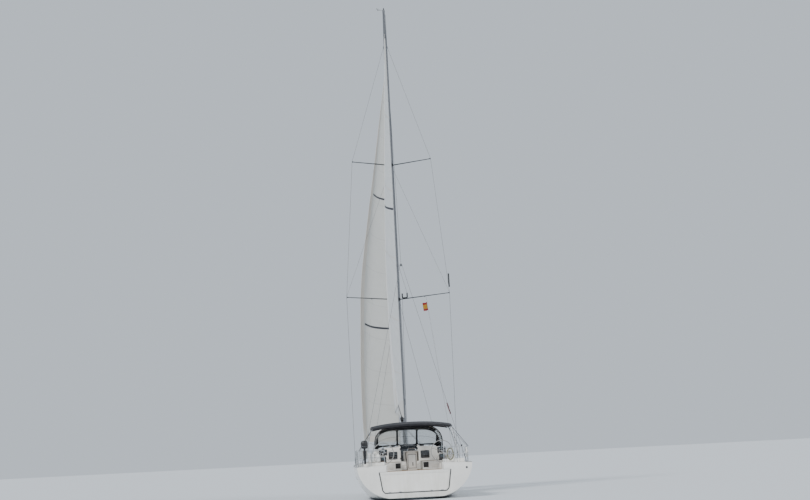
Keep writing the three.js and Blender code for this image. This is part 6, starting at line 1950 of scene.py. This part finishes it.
# Table: a white moulded box on the centreline with planks on its top, a framed panel and a stainless
# grab rail at its aft end, and two cream leaves edged with teak that hang from hinges along its top.
fit(skin("cockpit_table", "table_body", 0.008, steps=2), "yacht", "gelcoat", GELCOAT, "cockpit_table")
planks = block("table_top_planks", (-0.235, -5.3, 1.933), (0.235, -3.95, 1.941), 0.004)
fit(smooth(planks), "yacht", "teak", TEAK_LENGTHWAYS)
TABLE_END_Y = -5.31
panel = block("table_end_panel", (-0.15, TABLE_END_Y - 0.006, 1.24), (0.15, TABLE_END_Y + 0.004, 1.78), 0.006)
fit(smooth(panel), "yacht", "gelcoat", GELCOAT)
half_grab = [
    (-0.2, TABLE_END_Y - 0.02, 1.86), (-0.2, TABLE_END_Y - 0.075, 1.9), (-0.14, TABLE_END_Y - 0.075, 2.04),
]
grab_route = half_grab + [(-x, y, z) for x, y, z in half_grab[::-1]]
fit(smooth(tube("table_grab_rail", bent(grab_route, 0.05), 0.0125, 3)), "yacht", "steel", STEEL)
# Painted shade: the black slot block on the end panel stands in for the shade inside a small recess there.
panel_bits = [
    block("slot", (0.01, TABLE_END_Y - 0.012, 1.33), (0.045, TABLE_END_Y - 0.004, 1.47), 0.003),
    block("frame", (-0.165, TABLE_END_Y - 0.003, 1.225), (0.165, TABLE_END_Y + 0.003, 1.795), 0.004),
]
assemble("table_slot", panel_bits, "yacht", "black_plastic", BLACK)
LAMINATE = plain_finish("cream_laminate", (0.66, 0.65, 0.61), (0.52, 0.50, 0.45), 0.4, grain=0.0003)
for label, side in SIDES:
    leaf = skin(f"table_leaf_{label}", f"leaf_board_{label}", 0.004)
    fit(leaf, f"leaf_{label}", "teak", LAMINATE, f"table_leaf_{label}")
    low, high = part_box(f"table_leaf_{label}")
    edge = (low.x - 0.0002, low.y + 0.002, low.z - 0.001), (high.x + 0.0002, high.y - 0.002, low.z + 0.022)
    edging = block(f"leaf_edging_{label}", *edge, 0.003)
    fit(smooth(edging), f"leaf_{label}", "teak", TEAK_LENGTHWAYS)
    barrels = []
    for y in (-5.0, -4.6, -4.2):
        barrels.append(tube("barrel", [(side * 0.265, y + end, 1.938) for end in (-0.04, 0.04)], 0.006, 2))
    assemble(f"leaf_hinges_{label}", barrels, "yacht", "steel", STEEL)

# Winches and clutches: turned stainless drums with ribs round the waist and a self-tailing ring on
# top, and four black rope clutches with levers on each side of the roof.
DRUM_RADIUS = 0.083
DRUM_PROFILE = [
    # height above the foot, and share of the radius
    (0.0, 0.98), (0.022, 1.0), (0.03, 0.8), (0.045, 0.68), (0.1, 0.62), (0.128, 0.74), (0.132, 0.86),
    (0.139, 0.87), (0.141, 0.68), (0.15, 0.68), (0.152, 0.87), (0.16, 0.86), (0.168, 0.7), (0.174, 0.4),
]
DRUM_FOOT_Z = 1.7003
clutches = []
for label, side in SIDES:
    x, y = side * WINCH_HEAD.x, WINCH_HEAD.y
    profile = [(x, y, DRUM_FOOT_Z + height) for height, _ in DRUM_PROFILE]
    drum = [tube("drum", profile, DRUM_RADIUS, 9, tapers=[share for _, share in DRUM_PROFILE])]
    for rib_x, rib_y, _ in ring(Vector((x, y, 0)), (0.0525, 0, 0), (0, 0.0525, 0), circle(28)):
        rib = [(rib_x, rib_y, DRUM_FOOT_Z + height) for height in (0.055, 0.105)]
        drum.append(tube("rib", rib, 0.0016, 1))
    assemble(f"winch_drum_{label}", drum, "yacht", "steel", STEEL, f"winch_{label}")
    for i in range(4):
        x = side * (0.56 + 0.05 * i)
        z = roof_z(x, -1.02)
        clutches.append(block("clutch", (x - 0.02, -1.04, z - 0.004), (x + 0.02, -0.9, z + 0.05), 0.008))
        clutches.append(block("lever", (x - 0.014, -1.03, z + 0.048), (x + 0.014, -0.93, z + 0.062), 0.005))
assemble("rope_clutches", clutches, "yacht", "black_plastic", BLACK)

# Openings: a sliding hatch and two doors of smoked acrylic, aluminium-framed deck hatches, a moulded
# locker lid with a non-slip tread, and framed ports with slats in the aft face of the coachroof.
hatch = skin("companionway_hatch", "sliding_hatch_panel", 0.008)
fit(hatch, "sliding_hatch", "smoked", SMOKED, "companionway_hatch")
low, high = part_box("companionway_hatch")
grab = (-0.2, low.y + 0.03, high.z - 0.002), (0.2, low.y + 0.055, high.z + 0.02)
fit(smooth(block("sliding_hatch_grab", *grab, 0.008)), "sliding_hatch", "aluminium", ANODISED)
for label, side in SIDES:
    door = skin(f"companionway_door_{label}", f"door_panel_{label}", 0.003)
    fit(door, f"door_{label}", "smoked", SMOKED, f"companionway_door_{label}")
    face_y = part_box(f"companionway_door_{label}")[0].y
    route = [(side * 0.05, face_y + step, 1.86) for step in (0.004, -0.008, -0.02, -0.026)]
    knob = tube(f"door_knob_{label}", route, 0.018, 4, tapers=(0.6, 0.6, 1, 0.8))
    fit(smooth(knob), f"door_{label}", "steel", STEEL)


def frame_route(corners, reach):
    """A closed route round four corners, each cut off to the reach as a share of its sides."""
    route = []
    for i, corner in enumerate(corners):
        before, after = corners[i - 1], corners[(i + 1) % 4]
        middle = corner.lerp(before, 0.03).lerp(corner.lerp(after, 0.03), 0.5)
        route += [corner.lerp(before, reach), middle, corner.lerp(after, reach)]
    return route


for label in ("saloon_hatch", "fore_hatch"):
    low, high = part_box(label)
    body = f"{label}_lid"
    fit(skin(label, f"{label}_lid_panel", 0.006), body, "smoked", SMOKED, label)
    x0, x1, y0, y1 = low.x + 0.012, high.x - 0.012, low.y + 0.012, high.y - 0.012
    corners = [Vector((x, y, high.z - 0.006)) for x, y in ((x0, y0), (x1, y0), (x1, y1), (x0, y1))]
    lid_frame = [tube("rim", frame_route(corners, 0.1), 0.012, 2, closed=True)]
    for x in (-0.15, 0.15):
        handle = (x - 0.03, low.y + 0.02, high.z - 0.002), (x + 0.03, low.y + 0.05, high.z + 0.012)
        lid_frame.append(block("handle", *handle, 0.005))
    assemble(f"{label}_frame", lid_frame, body, "aluminium", ANODISED)
lid = skin("anchor_locker_lid", "locker_lid_moulding", 0.008)
fit(lid, "locker_lid", "gelcoat", GELCOAT, "anchor_locker_lid")
low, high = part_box("anchor_locker_lid")
tread = (low.x + 0.04, low.y + 0.05, high.z - 0.003), (high.x - 0.04, high.y - 0.05, high.z + 0.003)
fit(smooth(block("locker_lid_tread", *tread, 0.003, 1)), "locker_lid", "gelcoat", NONSLIP)
ports = []
port_frames = []
for side in (-1, 1):
    x0, x1 = sorted((side * 0.5, side * 0.87))
    ports.append(block("port_glass", (x0, -2.611, 1.62), (x1, -2.595, 1.93), 0.006, 2))
    for i in range(4):
        z = 1.66 + i * 0.072
        port_frames.append(block("slat", (x0 + 0.03, -2.618, z), (x1 - 0.03, -2.607, z + 0.012), 0.003, 1))
    corners = [Vector((x, -2.611, z)) for x, z in ((x0, 1.62), (x1, 1.62), (x1, 1.93), (x0, 1.93))]
    port_frames.append(tube("frame", frame_route(corners, 0.12), 0.008, 2, closed=True))
assemble("aft_ports", ports, "yacht", "smoked", SMOKED)
assemble("aft_port_frames", port_frames, "yacht", "aluminium", ANODISED)

# Grab rails: a bent stainless tube along each side of the roof, held up by three feet between its
# turned-down ends.
GRAB_X = 1.02
grabs = []
for side in (-1, 1):
    run = ((2.2, 0.0), (2.15, 0.06), (1.4, 0.07), (0.6, 0.07), (-0.2, 0.07), (-0.75, 0.06), (-0.8, 0.0))
    run = [(side * GRAB_X, y, roof_z(GRAB_X, y) + height) for y, height in run]
    grabs.append(tube("grab_rail", bent(run, 0.04), 0.0125, 3))
    for y in (1.4, 0.6, -0.2):
        foot = [(side * GRAB_X, y, roof_z(GRAB_X, y) + height) for height in (0, 0.07)]
        grabs.append(tube("foot", foot, 0.011, 2))
assemble("roof_grab_rails", grabs, "yacht", "steel", STEEL)

# Inside: a teak sole with steps up to the cockpit, the moulded anchor locker, the engine block
# behind the steps and a laminated floor in the stern locker, with a hole for the rudder stock.
stern_floor = block("stern_floor", (-2.3, -7.522, 0.02), (2.3, -3.2, 0.05), 0.002, 1)
carve(stern_floor, hull_body("room", SHELL + 0.006, 0.9, BOWL_END_Y), operation="INTERSECT")
stock_y = RUDDER_STOCK[1]
carve(stern_floor, block("stock_hole", (-0.06, stock_y - 0.06, -0.1), (0.06, stock_y + 0.06, 0.1)))
fit(smooth(stern_floor), "yacht", "gelcoat", BARE_LAMINATE)
fit(skin("cabin_sole", "cabin_sole_boards", 0.004), "yacht", "teak", TEAK_LENGTHWAYS, "cabin_sole")
fit(skin("anchor_locker", "anchor_locker_tray", 0.006), "yacht", "gelcoat", GELCOAT, "anchor_locker")
ENGINE_PAINT = plain_finish(
    "engine_paint", (0.16, 0.17, 0.18), (0.06, 0.06, 0.06), 0.5, grain=0.0008, dirt=0.8,
)
fit(skin("engine", "engine_block", 0.03, steps=3), "yacht", "iron", ENGINE_PAINT, "engine")

# Outboard: a small black outboard motor clamped with two screws on a weathered board at the port stern
# rail, with a trim line round its cowl.
WEATHERED_BOARD = plain_finish(
    "weathered_board", (0.36, 0.35, 0.33), (0.24, 0.225, 0.20), 0.8, grain=0.002, dirt=1.0,
)
board = skin("outboard_bracket", "outboard_board", 0.006, steps=3)
fit(board, "yacht", "teak", WEATHERED_BOARD, "outboard_bracket")
COWL_BLACK = plain_finish("cowl_black", (0.009, 0.009, 0.011), (0.028, 0.028, 0.03), 0.42, dirt=0.4)
motor = skin("outboard_motor", "outboard_body", 0.012, 40, 3)
fit(motor, "yacht", "black_plastic", COWL_BLACK, "outboard_motor")
cowl_line = []
for turn in circle(60):
    x, y = (math.copysign(abs(value) ** 0.6, value) for value in (math.cos(turn), math.sin(turn)))
    cowl_line.append((-1.96 + 0.1405 * x, -7.6466 + 0.121 * y, 2.19))
motor_bits = [tube("cowl_line", cowl_line, 0.004, 1, closed=True)]
for x in (-1.99, -1.93):
    motor_bits.append(tube("clamp_screw", ((x, -7.49, 1.93), (x, -7.44, 1.93)), 0.01, 2))
motor_bits.append(tube("clamp_bar", ((-2.015, -7.44, 1.93), (-1.905, -7.44, 1.93)), 0.006, 2))
assemble("outboard_trim", motor_bits, "yacht", "aluminium", ANODISED)

# Fenders: two white inflated vinyl fenders on the port helm seat, upright against the stern rail and
# hung from its top by dark lanyards.
FENDER_WHITE = plain_finish(
    "fender_vinyl", (0.74, 0.74, 0.71), (0.48, 0.47, 0.43), 0.42, grain=0.0006, dirt=1.0,
)
fenders = []
lanyards = []
seat_top_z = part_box("helm_seat_port")[1].z + 0.012
for x, length in ((-1.66, 0.34), (-1.43, 0.31)):
    route = [(x, -7.385, seat_top_z + length * share) for share in (0, 0.03, 0.1, 0.22, 0.78, 0.9, 0.97, 1.0)]
    fenders.append(tube("fender", route, 0.082, 6, tapers=(0.22, 0.45, 0.85, 1, 1, 0.85, 0.45, 0.22)))
    top = seat_top_z + length - 0.005
    lanyard = ((x, -7.385, top), (x, -7.4, mix(top, 1.99, 0.6)), (x, -7.478, 2.0))
    lanyards.append(tube("lanyard", lanyard, 0.005, 1))
fit(join("fenders", *fenders), "yacht", "gelcoat", FENDER_WHITE)
fit(join("fender_lanyards", *lanyards), "yacht", "sailcloth", ROPE_DARK)

# Lifebuoy: a horseshoe of foam in a pale fabric cover with four reflective bands, open end up, in a
# bent wire holder on the starboard stern rail.
BUOY_CENTRE = Vector((2.1463, -6.95, 1.735))
buoy_turns = [mix(-0.28, 1.28, i / 59) * math.pi for i in range(60)]
buoy_route = ring(BUOY_CENTRE, (0, 0.19, 0), (0, 0, 0.19), buoy_turns)
shares = [0.5] + [math.sin(math.pi * i / 59) ** 0.12 for i in range(1, 59)] + [0.5]
BUOY_COVER = plain_finish("buoy_cover", (0.78, 0.77, 0.73), (0.60, 0.58, 0.53), 0.55, grain=0.0015, dirt=0.7)
buoy = tube("lifebuoy_cover", buoy_route, 0.048, 8, tapers=shares)
fit(smooth(buoy), "yacht", "white_plastic", BUOY_COVER, "lifebuoy")
bands = []
for i in (8, 20, 39, 51):
    along = (buoy_route[i + 1] - buoy_route[i]).normalized() * 0.02
    bands.append(tube("band", (buoy_route[i] - along, buoy_route[i] + along), 0.0492, 8))
REFLECTIVE = plain_finish("reflective_band", (0.5, 0.52, 0.54), (0.4, 0.41, 0.42), 0.35)
assemble("lifebuoy_bands", bands, "yacht", "aluminium", REFLECTIVE)
holder = [
    (2.2, -7.08, 1.74), (2.09, -7.08, 1.62), (2.085, -7.0, 1.6), (2.085, -6.9, 1.6), (2.09, -6.82, 1.62),
    (2.205, -6.82, 1.74),
]
fit(smooth(tube("lifebuoy_holder", bent(holder, 0.03), 0.005, 2)), "yacht", "steel", STEEL)

# Anchor gear: the stainless stemhead fitting with its roller, the galvanised anchor and chain, and the
# windlass with its gypsy and capstan on a turned shaft.
GALVANISED = plain_finish(
    "galvanised", (0.38, 0.39, 0.39), (0.24, 0.23, 0.21), 0.5, grain=0.0006, dirt=0.8, metallic=0.7,
)
fit(skin("stemhead_fitting", "stemhead_plate", 0.003), "yacht", "steel", STEEL, "stemhead_fitting")
fit(skin("anchor", "anchor_casting", 0.004), "yacht", "steel", GALVANISED, "anchor")
chain_z = deck_z(0, 7.3) + 0.075
links = []
for i in range(20):
    centre = Vector((0, 7.66 - i * 0.03, chain_z))
    up = (0.011, 0, 0) if i % 2 else (0, 0, 0.011)
    links.append(tube("link", ring(centre, (0, 0.02, 0), up, circle(8)), 0.004, 1, closed=True))
fit(join("anchor_chain", *links), "yacht", "steel", GALVANISED)
base_z = deck_z(0, 6.98)
gypsy = [(x, 6.98, base_z + 0.085) for x in (-0.03, -0.026, -0.012, -0.008, 0.008, 0.012, 0.026, 0.03)]
capstan = [(x, 6.98, base_z + 0.085) for x in (0.1, 0.104, 0.12, 0.145, 0.165, 0.17)]
windlass = [
    block("housing", (-0.07, 6.9, base_z - 0.005), (0.1, 7.06, base_z + 0.04), 0.015),
    block("gearbox", (0.035, 6.92, base_z + 0.03), (0.1, 7.04, base_z + 0.15), 0.025, 3),
    tube("gypsy", gypsy, 0.062, 6, tapers=(0.9, 1, 1, 0.7, 0.7, 1, 1, 0.9)),
    tube("capstan", capstan, 0.05, 6, tapers=(0.9, 1, 0.7, 0.7, 1, 0.9)),
]
assemble("windlass", windlass, "yacht", "steel", STEEL)
